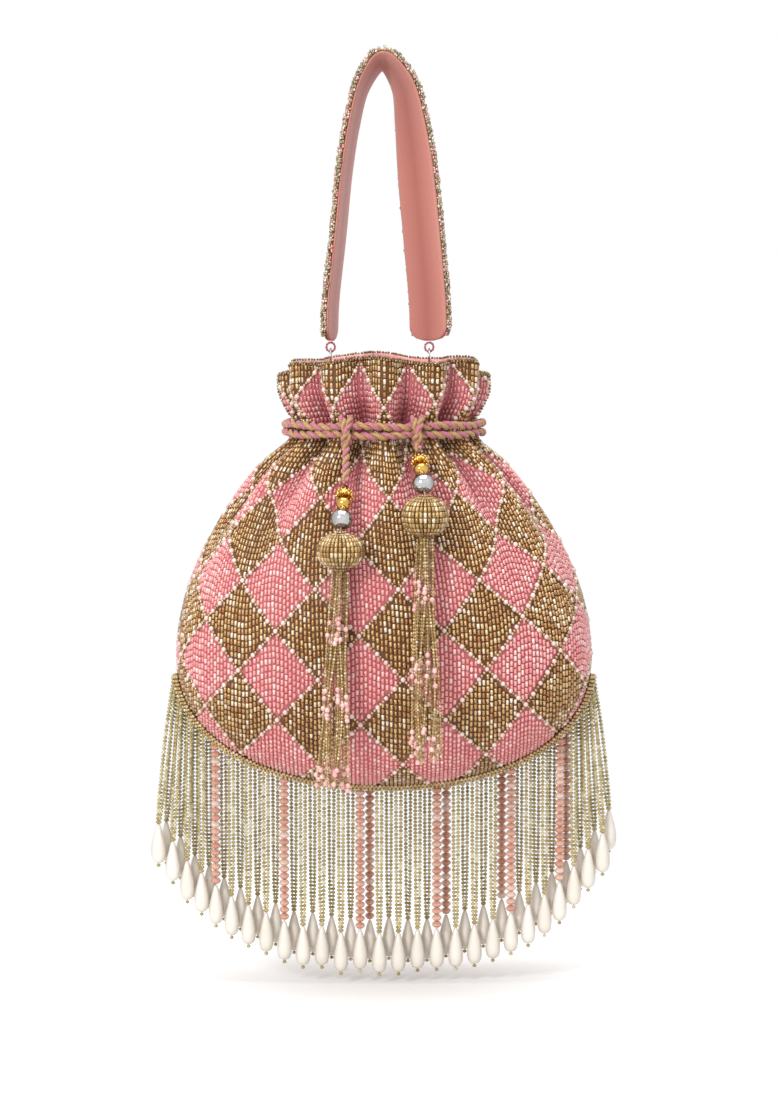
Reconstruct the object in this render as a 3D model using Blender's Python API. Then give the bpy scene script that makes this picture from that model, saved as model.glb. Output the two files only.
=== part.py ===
"""Beaded potli bag: two gathered panels on a U-shaped seam, a drawstring with two tassels, a
fringe of bead strands and drop pearls, and a strap handle that hangs the bag from two rings.

The origin is the grip, under the crown of the handle. +Z is up, and the front faces -Y.
"""

import math

import bpy
import numpy as np
from mathutils import Vector

MM = 0.001

# Clearances
GAP = 0.3 * MM  # between two pieces that touch
LIE = 0.6 * MM  # between a tassel and the bag that it lies on
HANG_GAP = 0.95 * MM  # at the top of a swinging cord tail
THREAD_SLACK = 0.3 * MM  # round a thread in its bead

# Handle strap
HANDLE_DROP = 137.5 * MM  # from the grip to the ends of the strap
STRAP_WIDTH = 24.0 * MM
STRAP_LINING = 1.3 * MM
STRAP_BEADWORK = 1.7 * MM
STRAP_END_LENGTH = 7.0 * MM
STRAP_END_WIDTH = 5.0 * MM
STRAP_TWIST_LEFT = -12.0
STRAP_TWIST_RIGHT = -48.0
LEFT_END_X = -26.5 * MM
RIGHT_END_X = 22.5 * MM
STRAP_STATIONS = 28

# Loops and rings that join the handle to the bag
STRAP_TO_HINGE = 5.4 * MM
LOOP_CORD_RADIUS = 0.6 * MM
LOOP_HALF_WIDTH = 2.1 * MM
RING_RADIUS = 3.6 * MM  # to the middle of the wire
RING_WIRE_RADIUS = 0.5 * MM
TAB_THICKNESS = 0.8 * MM
TAB_WIDTH = 3.0 * MM
TAB_SLACK = 0.5 * MM  # between the fold of a tab and the ring in it
TAB_FOOT_DROP = 32.0 * MM  # from the ring's foot down to where the tab meets the lining

# Bag outline
HINGE_TO_NECK = 38.1 * MM
RUFFLE_HEIGHT = 34.5 * MM
SHOULDER_HEIGHT = 115.0 * MM
BOTTOM_HEIGHT = 65.0 * MM
NECK_HALF_WIDTH = 46.5 * MM
NECK_HALF_DEPTH = 33.0 * MM
RIM_HALF_WIDTH = 53.0 * MM
RIM_HALF_DEPTH = 39.5 * MM
BELLY_HALF_WIDTH = 104.5 * MM
BELLY_HALF_DEPTH = 58.0 * MM
BOTTOM_POWER = 2.2  # a little squarer than an ellipse
PANEL_WALL = 1.6 * MM
LINING_WALL = 0.8 * MM
LINING_SIDES = 16
LINING_SHARE = 0.35  # share of the ruffle that the lining reaches up
SEAM_GAP = 0.3 * MM
BAG_SET_BACK = 6.0 * MM  # the tassels in front balance the bag this far behind its rings

# Gathers
FOLDS = 12
NECK_FOLD = 2.8 * MM
RIM_FOLD = 3.6 * MM
PINCH_REACH = 10.0 * MM  # how far from the drawstring the cloth is held in
FOLD_REACH = 0.24  # share of the shoulder over which the gathers fade
RIM_WAVE = 1.6 * MM
RIM_CORNER_DROP = 8.0 * MM

# Drawstring
CORD_RADIUS = 2.0 * MM
CORD_SEAT = 0.7 * MM  # between the crests of the gathers and the cord

# Fringe
FRINGE_TOP_BELOW_BELLY = 9.0 * MM
FRINGE_PIECES = 6
DROPS_PER_PIECE = 9
STRAND_LENGTH = 69.0 * MM
STRAND_RADIUS = 0.85 * MM
STRAND_SPREAD = 1.4 * MM  # from a drop's middle to each of its two strands, at the seam
STRAND_VARIATION = 2.0 * MM
ROW_OFFSET = 3.7 * MM
DROP_PITCH = 7.2 * MM  # closest that two drops of a row hang
TAPE_THICKNESS = 1.6 * MM
TAPE_WIDTH = 8.4 * MM
TAPE_END_GAP = 1.0 * MM  # between two pieces of the tape
STRAND_EMBED = 0.5 * MM  # how far a strand is sewn into the tape
PEARL_LENGTH = 20.0 * MM
PEARL_RADIUS = 3.35 * MM
STOP_BEAD_LENGTH = 2.2 * MM
STOP_BEAD_RADIUS = 0.8 * MM
CRYSTAL_RADIUS = 2.3 * MM
CRYSTAL_PLACES = (-86.0 * MM, -51.0 * MM, -14.5 * MM, -9.5 * MM, 24.5 * MM, 29.5 * MM,
                  59.5 * MM, 64.5 * MM, 88.5 * MM, 93.5 * MM)

# Tassels
TAIL_TIP_RADIUS = 0.5 * MM
CAP_LENGTH = 6.8 * MM
CAP_RADIUS = 4.2 * MM
CAP_TOP_RADIUS = 1.0 * MM
GOLD_BEAD_RADIUS = 3.75 * MM
GOLD_BEAD_LENGTH = 6.9 * MM
SILVER_BEAD_RADIUS = 5.4 * MM
SILVER_BEAD_LENGTH = 10.2 * MM
MELON_SEAT = 2.2 * MM  # from the silver bead to the top of the melon, along the thread
MELON_RADIUS = 11.6 * MM
THREAD_RADIUS = 0.5 * MM
SKIRT_SEAT = 0.5 * MM  # from the foot of the melon to the top of the skirt
SKIRT_TOP_RADIUS = 5.0 * MM
SKIRT_FOOT_RADIUS = 9.8 * MM
SKIRT_FLUTES = 12
SKIRT_FLUTE_DEPTH = 0.16  # as a share of the skirt's radius
SKIRT_SHARES = (0.0, 0.14, 0.5, 0.78, 0.95, 1.0)
SKIRT_TUCK = 0.8  # how far the skirt draws in at its foot
SKIRT_WALL = 1.6 * MM
SWING_IN = 4.0  # degrees that a tassel swings toward the middle of the bag

# Each tassel: X where its tail leaves the cord, X of the melon and of the skirt's foot, drop from
# the cord to the middle of the melon, length of the melon and of the skirt
LEFT_TASSEL = {"x": -18.5 * MM, "melon_x": -21.0 * MM, "foot_x": -25.0 * MM, "drop": 54.5 * MM,
               "melon": 18.6 * MM, "skirt": 108.0 * MM}
RIGHT_TASSEL = {"x": 16.5 * MM, "melon_x": 20.0 * MM, "foot_x": 20.5 * MM, "drop": 38.0 * MM,
                "melon": 20.4 * MM, "skirt": 110.0 * MM}

# Levels and places worked out from the sizes above
HINGE_Z = -(HANDLE_DROP + STRAP_TO_HINGE)
NECK_Z = HINGE_Z - HINGE_TO_NECK
BELLY_Z = NECK_Z - SHOULDER_HEIGHT
FRINGE_TOP_Z = BELLY_Z - FRINGE_TOP_BELOW_BELLY
RING_TOP_RISE = LOOP_CORD_RADIUS + RING_WIRE_RADIUS + GAP
RING_Z = HINGE_Z + RING_TOP_RISE - RING_RADIUS
UPPER_CORD_Z = NECK_Z + CORD_RADIUS + GAP / 2
LOWER_CORD_Z = NECK_Z - CORD_RADIUS - GAP / 2
BAG_ORIGIN = Vector((0, BAG_SET_BACK, 0))
HANDLE_ORIGIN = Vector((0, 0, 0))


def clear_scene():
    for obj in list(bpy.data.objects):
        bpy.data.objects.remove(obj, do_unlink=True)


def make_material(name, colour, roughness, metallic=0.0):
    material = bpy.data.materials.new(name)
    material.use_nodes = True
    shader = material.node_tree.nodes["Principled BSDF"]
    shader.inputs["Base Color"].default_value = (*colour, 1)
    shader.inputs["Roughness"].default_value = roughness
    shader.inputs["Metallic"].default_value = metallic
    return material


def make_materials():
    return {
        "beadwork": make_material("beadwork", (0.62, 0.36, 0.24), 0.35, 0.2),
        "lining": make_material("lining", (0.80, 0.38, 0.42), 0.6),
        "strap": make_material("strap", (0.62, 0.28, 0.24), 0.8),
        "cord": make_material("cord", (0.60, 0.25, 0.30), 0.7),
        "strands": make_material("strands", (0.62, 0.54, 0.30), 0.3, 0.4),
        "crystal": make_material("crystal", (0.70, 0.38, 0.28), 0.1),
        "gold": make_material("gold", (0.75, 0.50, 0.15), 0.2, 1.0),
        "silver": make_material("silver", (0.75, 0.75, 0.75), 0.1, 1.0),
    }


def make_empty(name, location, parent=None):
    """An empty at a place in the world, on a joint's axis."""
    empty = bpy.data.objects.new(name, None)
    bpy.context.scene.collection.objects.link(empty)
    empty.empty_display_size = 10 * MM
    empty.parent = parent
    empty.location = location - world_place(parent)
    return empty


def world_place(empty):
    place = Vector((0, 0, 0))
    while empty is not None:
        place = place + empty.location
        empty = empty.parent
    return place


def add_object(name, data, material, parent, origin):
    """Puts a mesh or curve, drawn round the given origin, under its joint's empty."""
    obj = bpy.data.objects.new(name, data)
    bpy.context.scene.collection.objects.link(obj)
    data.materials.append(material)
    obj.parent = parent
    obj.location = origin - world_place(parent)
    return obj


def add_mesh(name, points, faces, material, parent, origin, smooth_under=50):
    mesh = bpy.data.meshes.new(name)
    mesh.from_pydata([tuple(point) for point in points], [], faces)
    mesh.shade_smooth()
    mesh.set_sharp_from_angle(angle=math.radians(smooth_under))
    return add_object(name, mesh, material, parent, origin)


def add_tube(name, path, radius, material, parent, origin, cyclic=False, radii=None, rounding=1):
    curve = bpy.data.curves.new(name, "CURVE")
    curve.dimensions = "3D"
    curve.bevel_depth = radius
    curve.bevel_resolution = rounding
    curve.use_fill_caps = not cyclic
    spline = curve.splines.new("POLY")
    spline.points.add(len(path) - 1)
    for index, (point, place) in enumerate(zip(spline.points, path)):
        point.co = (*place, 1)
        point.radius = 1.0 if radii is None else radii[index] / radius
    spline.use_cyclic_u = cyclic
    return add_object(name, curve, material, parent, origin)


def skin(rings, wrap=False):
    """Points and faces of the closed skin over rings that turn to the right along their travel.

    With wrap the last ring joins the first; without it both ends get a flat cap.
    """
    count, sides = len(rings), len(rings[0])
    points = np.concatenate(rings)
    faces = []
    for ring in range(count if wrap else count - 1):
        here, after = ring * sides, (ring + 1) % count * sides
        for side in range(sides):
            turn = (side + 1) % sides
            faces.append((here + side, here + turn, after + turn, after + side))
    if not wrap:
        faces.append(tuple(range(sides))[::-1])
        faces.append(tuple(range((count - 1) * sides, count * sides)))
    return points, faces


def joined(parts):
    """Several skins as one list of points and faces."""
    points, faces, base = [], [], 0
    for part_points, part_faces in parts:
        points.append(part_points)
        faces.extend(tuple(base + corner for corner in face) for face in part_faces)
        base += len(part_points)
    return np.concatenate(points), faces


def across(direction):
    """Two unit vectors square to a direction and to each other, right-handed with it."""
    helper = np.array((0.0, 1.0, 0.0))
    first = np.cross(helper, direction)
    first /= np.linalg.norm(first)
    return first, np.cross(direction, first)


def turned(start, end, profile, sides, bore=None):
    """A turned piece: profile holds (distance from start, radius) pairs along the axis."""
    direction = (end - start) / np.linalg.norm(end - start)
    first, second = across(direction)
    angles = np.linspace(0, 2 * math.pi, sides, endpoint=False)
    circle = np.outer(np.cos(angles), first) + np.outer(np.sin(angles), second)
    stations = list(profile)
    if bore is not None:
        stations += [(profile[-1][0], bore), (profile[0][0], bore)]
    rings = [start + distance * direction + radius * circle for distance, radius in stations]
    return skin(rings, wrap=bore is not None)


def ball_profile(length, radius, end_radius, steps):
    """(distance, radius) pairs of a ball cut flat where it is end_radius wide."""
    half_turn = math.acos(end_radius / radius)
    angles = np.linspace(-half_turn, half_turn, steps)
    spread = length / (2 * math.sin(half_turn))
    return [(length / 2 + spread * math.sin(a), radius * math.cos(a)) for a in angles]


def ribbon(centres, widths, normals, half_widths, low, high):
    """A strip of rectangular section; widths and normals are unit vectors, low to high its wall.

    Both broad faces are split along the same diagonals, so that twisted layers lie together.
    """
    rings = []
    for centre, width, normal, half in zip(centres, widths, normals, half_widths):
        rings.append(np.array([
            centre + half * width + high * normal,
            centre - half * width + high * normal,
            centre - half * width + low * normal,
            centre + half * width + low * normal,
        ]))
    points, faces = skin(rings)
    split = []
    for face in faces[:-2]:
        a, b, c, d = face
        split += [(a, b, d), (b, c, d)] if a % 4 == 2 else [(a, b, c), (a, c, d)]
    return points, split + faces[-2:]


def smooth_path(points, count):
    """Evenly spaced points on a smooth curve through the given ones."""
    points = np.array(points, float)
    padded = np.concatenate([[2 * points[0] - points[1]], points, [2 * points[-1] - points[-2]]])
    curve = []
    for index in range(len(points) - 1):
        before, start, end, after = padded[index:index + 4]
        for t in np.linspace(0, 1, 40, endpoint=False):
            curve.append(0.5 * (2 * start + (end - before) * t
                                + (2 * before - 5 * start + 4 * end - after) * t**2
                                + (3 * start - before - 3 * end + after) * t**3))
    curve = np.array(curve + [points[-1]])
    lengths = np.concatenate([[0], np.cumsum(np.linalg.norm(np.diff(curve, axis=0), axis=1))])
    wanted = np.linspace(0, lengths[-1], count)
    return np.stack([np.interp(wanted, lengths, curve[:, axis]) for axis in range(3)], axis=1)


def pinch(distance):
    """0 where the drawstring holds the cloth in, rising to 1 a little way off."""
    return 1 - math.exp(-((distance / PINCH_REACH) ** 2))


def shoulder_share(share):
    """How far the bag has widened from neck to belly, at a share of the way down."""
    return math.sin(math.pi / 2 * share**0.92) * pinch(share * SHOULDER_HEIGHT)


def section_at(z):
    """Half width, half depth and fold size of the outer skin at a height."""
    if z >= NECK_Z:
        share = (z - NECK_Z) / RUFFLE_HEIGHT
        flare = math.sin(math.pi / 2 * min(1.0, share / 0.6)) * pinch(z - NECK_Z)
        width = NECK_HALF_WIDTH + (RIM_HALF_WIDTH - NECK_HALF_WIDTH) * flare
        depth = NECK_HALF_DEPTH + (RIM_HALF_DEPTH - NECK_HALF_DEPTH) * flare
        return width, depth, NECK_FOLD + (RIM_FOLD - NECK_FOLD) * share
    if z >= BELLY_Z:
        share = (NECK_Z - z) / SHOULDER_HEIGHT
        widening = shoulder_share(share)
        width = NECK_HALF_WIDTH + (BELLY_HALF_WIDTH - NECK_HALF_WIDTH) * widening
        depth = NECK_HALF_DEPTH + (BELLY_HALF_DEPTH - NECK_HALF_DEPTH) * widening
        return width, depth, NECK_FOLD * math.exp(-((share / FOLD_REACH) ** 2))
    drop = min(1.0, (BELLY_Z - z) / BOTTOM_HEIGHT)
    left = (1 - drop**BOTTOM_POWER) ** (1 / BOTTOM_POWER)
    return BELLY_HALF_WIDTH * left, BELLY_HALF_DEPTH * left, 0.0


def front_depth(x, z):
    """How far the front of the bag stands out from the seam plane."""
    width, depth, _ = section_at(z)
    if abs(x) >= width:
        return 0.0
    return depth * math.sqrt(1 - (x / width) ** 2)


RUFFLE_SHARES = (1.0, 0.66, LINING_SHARE, 0.14)
SHOULDER_SHARES = (0.0, 0.045, 0.1, 0.17, 0.27, 0.39, 0.54, 0.76)
BOTTOM_ANGLES = (0.0, 26.0, 48.0, 68.0)


def skin_rows(inset):
    """Rows of the bag's skin from rim to foot: (z, half width, half depth, fold, lift share)."""
    rows = []
    for share in RUFFLE_SHARES:
        z = NECK_Z + share * RUFFLE_HEIGHT
        width, depth, fold = section_at(z)
        lift = max(0.0, share - LINING_SHARE) / (1 - LINING_SHARE)
        rows.append((z, width - inset, depth - inset, fold, lift**2))
    for share in SHOULDER_SHARES:
        z = NECK_Z - share * SHOULDER_HEIGHT
        width, depth, fold = section_at(z)
        rows.append((z, width - inset, depth - inset, fold, 0.0))
    for angle in BOTTOM_ANGLES:
        lean = math.cos(math.radians(angle)) ** (2 / BOTTOM_POWER)
        sink = math.sin(math.radians(angle)) ** (2 / BOTTOM_POWER)
        rows.append((BELLY_Z - (BOTTOM_HEIGHT - inset) * sink,
                     (BELLY_HALF_WIDTH - inset) * lean, (BELLY_HALF_DEPTH - inset) * lean, 0.0, 0.0))
    return rows


def rim_lift(angle):
    """How much the rim rises or falls at an angle round the bag."""
    corner = abs(math.sin(angle)) ** 10
    return RIM_WAVE * math.cos(5 * angle + 0.6) * (1 - corner) - RIM_CORNER_DROP * corner


def panel_sheet(inset, angles):
    """The front panel's skin at an inset, as rows of points, and the point at its foot."""
    sheet = []
    for z, width, depth, fold, lift in skin_rows(inset):
        row = []
        for angle in angles:
            dip = fold * (1 - math.cos(FOLDS * angle))
            row.append((
                (width - dip) * math.sin(angle),
                -SEAM_GAP / 2 - (depth - dip) * math.cos(angle),
                z + rim_lift(angle) * lift,
            ))
        sheet.append(row)
    return sheet, (0.0, -SEAM_GAP / 2, BELLY_Z - BOTTOM_HEIGHT + inset)


def build_panel(name, side, material, parent):
    """One half of the bag; side is 1 in front and -1 behind."""
    columns = 4 * FOLDS // 2 + 1
    angles = np.linspace(-math.pi / 2, math.pi / 2, columns)
    outer, outer_foot = panel_sheet(0.0, angles)
    inner, inner_foot = panel_sheet(PANEL_WALL, angles)
    rows = len(outer)
    points = np.array([point for sheet in (outer, inner) for row in sheet for point in row]
                      + [outer_foot, inner_foot])
    out_foot, in_foot = 2 * rows * columns, 2 * rows * columns + 1

    def out(row, column):
        return row * columns + column

    def inn(row, column):
        return (rows + row) * columns + column

    faces = []
    for column in range(columns - 1):
        after = column + 1
        for row in range(rows - 1):
            faces.append((out(row, column), out(row + 1, column), out(row + 1, after), out(row, after)))
            faces.append((inn(row, after), inn(row + 1, after), inn(row + 1, column), inn(row, column)))
        faces.append((out(0, column), out(0, after), inn(0, after), inn(0, column)))
        faces.append((out(rows - 1, column), out_foot, out(rows - 1, after)))
        faces.append((inn(rows - 1, after), in_foot, inn(rows - 1, column)))
    last = columns - 1
    for row in range(rows - 1):
        faces.append((out(row, 0), inn(row, 0), inn(row + 1, 0), out(row + 1, 0)))
        faces.append((out(row, last), out(row + 1, last), inn(row + 1, last), inn(row, last)))
    faces.append((out(rows - 1, 0), inn(rows - 1, 0), in_foot, out_foot))
    faces.append((out(rows - 1, last), out_foot, in_foot, inn(rows - 1, last)))
    if side < 0:
        points[:, 1] *= -1
        faces = [face[::-1] for face in faces]
    add_mesh(name, points, faces, material, parent, BAG_ORIGIN)


def lining_rings(inset):
    """Level rings of the lining, clear of the gathers, from its top to just above its foot."""
    angles = np.linspace(0, 2 * math.pi, LINING_SIDES, endpoint=False)
    rings = []
    for z, width, depth, fold, _ in skin_rows(inset)[RUFFLE_SHARES.index(LINING_SHARE):]:
        rings.append(np.stack([
            (width - 2 * fold) * np.sin(angles),
            -(depth - 2 * fold) * np.cos(angles),
            np.full(len(angles), z),
        ], axis=1))
    return rings


def build_lining(material, parent):
    outer_inset = PANEL_WALL + GAP
    inner_inset = outer_inset + LINING_WALL
    outer, inner = lining_rings(outer_inset), lining_rings(inner_inset)
    rings = outer[::-1] + inner
    points, faces = skin(rings)
    sides, last = len(outer[0]), len(rings) * len(outer[0])
    feet = [(0, 0, BELLY_Z - BOTTOM_HEIGHT + inset) for inset in (outer_inset, inner_inset)]
    points = np.concatenate([points, feet])
    faces = faces[:-2]
    for side in range(sides):
        turn = (side + 1) % sides
        faces.append((turn, side, last))
        faces.append((last - sides + side, last - sides + turn, last + 1))
    add_mesh("lining", points, faces, material, parent, BAG_ORIGIN)


def neck_loop(z, count=28):
    """Points of a cord's middle where it is drawn round the neck."""
    angles = np.linspace(0, 2 * math.pi, count, endpoint=False)
    out = CORD_RADIUS + CORD_SEAT
    return [((NECK_HALF_WIDTH + out) * math.sin(a), -(NECK_HALF_DEPTH + out) * math.cos(a), z)
            for a in angles]


def build_drawstring(materials, parent):
    for name, z in (("drawstring_upper", UPPER_CORD_Z), ("drawstring_lower", LOWER_CORD_Z)):
        add_tube(name, neck_loop(z), CORD_RADIUS, materials["cord"], parent, BAG_ORIGIN, cyclic=True)


def strap_frames():
    """Middle line of the strap with its width and inward directions and its half width."""
    low = -HANDLE_DROP
    route = [
        (LEFT_END_X, 0, low), (LEFT_END_X + 0.8 * MM, 0, 0.85 * low), (LEFT_END_X + 4.3 * MM, 0, 0.62 * low),
        (LEFT_END_X + 7.3 * MM, 0, 0.40 * low), (-15.3 * MM, 0, 0.22 * low), (-10.2 * MM, 0, 0.08 * low),
        (-0.5 * MM, 0, STRAP_LINING), (9.6 * MM, 0, 0.08 * low), (13.4 * MM, 0, 0.22 * low),
        (16.2 * MM, 0, 0.40 * low), (RIGHT_END_X - 3.4 * MM, 0, 0.62 * low),
        (RIGHT_END_X - 0.6 * MM, 0, 0.85 * low), (RIGHT_END_X, 0, low),
    ]
    centres = smooth_path(route, 201)
    tangents = np.gradient(centres, axis=0)
    tangents /= np.linalg.norm(tangents, axis=1)[:, None]
    steps = np.linalg.norm(np.diff(centres, axis=0), axis=1)
    travel = np.concatenate([[0], np.cumsum(steps)])
    end_bend = np.minimum(travel, travel[-1] - travel)
    share = travel / travel[-1]
    turn = np.clip((share - 0.40) / 0.36, 0, 1)
    turn = turn * turn * (3 - 2 * turn)
    twist = np.radians(STRAP_TWIST_LEFT + (STRAP_TWIST_RIGHT - STRAP_TWIST_LEFT) * turn)[:, None]
    plain_width = np.tile((0.0, -1.0, 0.0), (len(centres), 1))
    plain_normal = np.cross(tangents, plain_width)
    widths = np.cos(twist) * plain_width + np.sin(twist) * plain_normal
    normals = np.cos(twist) * plain_normal - np.sin(twist) * plain_width
    taper = np.sqrt(1 - (1 - np.clip(end_bend / STRAP_END_LENGTH, 0, 1)) ** 2)
    halves = (STRAP_END_WIDTH + (STRAP_WIDTH - STRAP_END_WIDTH) * taper) / 2
    wanted = np.linspace(STRAP_END_LENGTH, travel[-1] - STRAP_END_LENGTH, STRAP_STATIONS)
    ends = np.array([0, 0.12, 0.4]) * STRAP_END_LENGTH
    wanted = np.concatenate([ends, wanted, travel[-1] - ends[::-1]])
    pick = np.searchsorted(travel, wanted - 1e-9)
    return centres[pick], widths[pick], normals[pick], halves[pick]


def build_handle(materials, parent):
    centres, widths, normals, halves = strap_frames()
    lining = ribbon(centres, widths, normals, halves, 0.0, STRAP_LINING)
    outer_face = -GAP
    beads = ribbon(centres, widths, normals, halves, outer_face - STRAP_BEADWORK, outer_face)
    add_mesh("handle_lining", *lining, materials["strap"], parent, HANDLE_ORIGIN)
    add_mesh("handle_beadwork", *beads, materials["beadwork"], parent, HANDLE_ORIGIN)


def ring_circle(x, count=12):
    angles = np.linspace(0, 2 * math.pi, count, endpoint=False)
    return [(x, -BAG_SET_BACK + RING_RADIUS * math.sin(a), RING_Z + RING_RADIUS * math.cos(a))
            for a in angles]


def loop_route(x):
    """Closed pink cord loop: a half turn under the ring's wire and another under the strap."""
    half = LOOP_HALF_WIDTH
    top = HINGE_Z + STRAP_TO_HINGE - GAP - LOOP_CORD_RADIUS - half
    low = HINGE_Z + half
    turns = np.radians(np.linspace(0, 180, 6))
    lower = [(x - half * math.cos(a), 0, low - half * math.sin(a)) for a in turns]
    upper = [(x + half * math.cos(a), 0, top + half * math.sin(a)) for a in turns]
    return lower + upper


def tab_route(x, side):
    """Middle of a fabric tab: up from the lining, over the foot of the ring and down again."""
    foot = RING_Z - RING_RADIUS
    bend = RING_WIRE_RADIUS + TAB_SLACK + TAB_THICKNESS / 2
    width, depth, fold = section_at(foot - TAB_FOOT_DROP)
    inset = 2 * fold + PANEL_WALL + GAP + LINING_WALL
    flat = math.cos(math.pi / LINING_SIDES)
    near = (BAG_SET_BACK + TAB_WIDTH / 2) / (depth - inset)
    wall = (width - inset) * math.sqrt(1 - near**2) * flat
    seat = side * (wall - GAP - TAB_THICKNESS)
    turns = np.radians(np.linspace(0, 180, 7))
    over = [(x + side * bend * math.cos(a), foot + bend * math.sin(a)) for a in turns]
    down = [(x - side * bend, foot - 6 * MM)]
    up = [(seat, foot - TAB_FOOT_DROP), (x + side * (bend + 2 * MM), foot - 7 * MM)]
    return np.array([(px, -BAG_SET_BACK, pz) for px, pz in up + over + down])


def build_rings(materials, handle, bag):
    for name, x, side in (("left", LEFT_END_X, -1), ("right", RIGHT_END_X, 1)):
        add_tube(f"{name}_handle_loop", loop_route(x), LOOP_CORD_RADIUS, materials["cord"], handle,
                 HANDLE_ORIGIN, cyclic=True)
        add_tube(f"{name}_ring", ring_circle(x), RING_WIRE_RADIUS, materials["silver"], bag,
                 BAG_ORIGIN, cyclic=True)
        centres = tab_route(x, side)
        tangents = np.gradient(centres, axis=0)
        tangents /= np.linalg.norm(tangents, axis=1)[:, None]
        widths = np.tile((0.0, -1.0, 0.0), (len(centres), 1))
        normals = np.cross(tangents, widths)
        half = TAB_THICKNESS / 2
        tab = ribbon(centres, widths, normals, [TAB_WIDTH / 2] * len(centres), -half, half)
        add_mesh(f"{name}_ring_tab", *tab, materials["lining"], bag, BAG_ORIGIN)


def seam_line(outward):
    """The U of the seam below the fringe's top, moved outward: places and outward directions.

    Returns points at even steps and their distance along the line.
    """
    angles = np.linspace(-math.pi / 2, math.pi / 2, 1201)
    x = BELLY_HALF_WIDTH * np.sign(np.sin(angles)) * np.abs(np.sin(angles)) ** (2 / BOTTOM_POWER)
    z = BELLY_Z - BOTTOM_HEIGHT * np.abs(np.cos(angles)) ** (2 / BOTTOM_POWER)
    keep = z <= FRINGE_TOP_Z
    line = np.stack([x[keep], z[keep]], axis=1)
    travel = np.gradient(line, axis=0)
    travel /= np.linalg.norm(travel, axis=1)[:, None]
    outside = np.stack([travel[:, 1], -travel[:, 0]], axis=1)
    line = line + outward * outside
    length = np.concatenate([[0], np.cumsum(np.linalg.norm(np.diff(line, axis=0), axis=1))])
    return line, outside, length


def along(length, values, shares):
    """Values of a line read at shares of its whole length."""
    places = np.asarray(shares) * length[-1]
    return np.stack([np.interp(places, length, values[:, axis]) for axis in (0, 1)], axis=1)


def drop_places():
    """(row, seam share, seam x, seam z, hanging x, extra length) for each drop of the fringe."""
    line, _, length = seam_line(GAP + TAPE_THICKNESS)
    count = FRINGE_PIECES * DROPS_PER_PIECE
    places = (np.arange(count) + 0.5) / count
    seam = along(length, line, places)
    hanging = seam[:, 0].copy()
    for row in (0, 1):
        for side in (-1, 1):
            mine = [i for i in range(row, count, 2) if side * seam[i, 0] >= 0]
            mine.sort(key=lambda i: abs(seam[i, 0]))
            for before, index in zip(mine, mine[1:]):
                least = abs(hanging[before]) + DROP_PITCH
                hanging[index] = side * max(abs(seam[index, 0]), least)
    extra = STRAND_VARIATION * (0.5 + 0.5 * np.sin(2.4 * np.arange(count) ** 1.3))
    return [(i % 2, places[i], seam[i, 0], seam[i, 1], hanging[i], extra[i]) for i in range(count)]


def crystal_choice(drops):
    """Which drops hang on a strand of crystals: the free one nearest each crystal place."""
    chosen = []
    for place in CRYSTAL_PLACES:
        free = [i for i in range(len(drops)) if i not in chosen]
        chosen.append(min(free, key=lambda i: abs(drops[i][4] - place)))
    return sorted(chosen)


def pearl_profile(start):
    """A drop pearl and the stop bead under it, from its narrow top down."""
    end = start + PEARL_LENGTH
    return [(start, STRAND_RADIUS), (start + 0.45 * PEARL_LENGTH, 0.74 * PEARL_RADIUS),
            (start + 0.78 * PEARL_LENGTH, PEARL_RADIUS), (end + STOP_BEAD_LENGTH, STOP_BEAD_RADIUS)]


def drop_skins(drop, line, length):
    """The two strands and the pearl of one drop."""
    row, place, seam_x, seam_z, hanging_x, extra = drop
    side_y = ROW_OFFSET * (1 if row else -1)
    top = np.array((hanging_x, side_y, seam_z - STRAND_LENGTH - extra))
    down = np.array((0.0, 0.0, -1.0))
    parts = [turned(top, top + down, pearl_profile(0.0), 6)]
    spread = STRAND_SPREAD / length[-1]
    starts = along(length, line, [place - spread, place + spread])
    for index, (x, z) in enumerate(starts):
        start = np.array((x, side_y * 0.75, z))
        lean = STRAND_RADIUS * 0.35 * (2 * index - 1)
        end = top + np.array((lean, 0, -1.5 * MM))
        reach = np.linalg.norm(end - start)
        parts.append(turned(start, end, [(0, STRAND_RADIUS), (reach, 0.8 * STRAND_RADIUS)], 3))
    return parts


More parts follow.
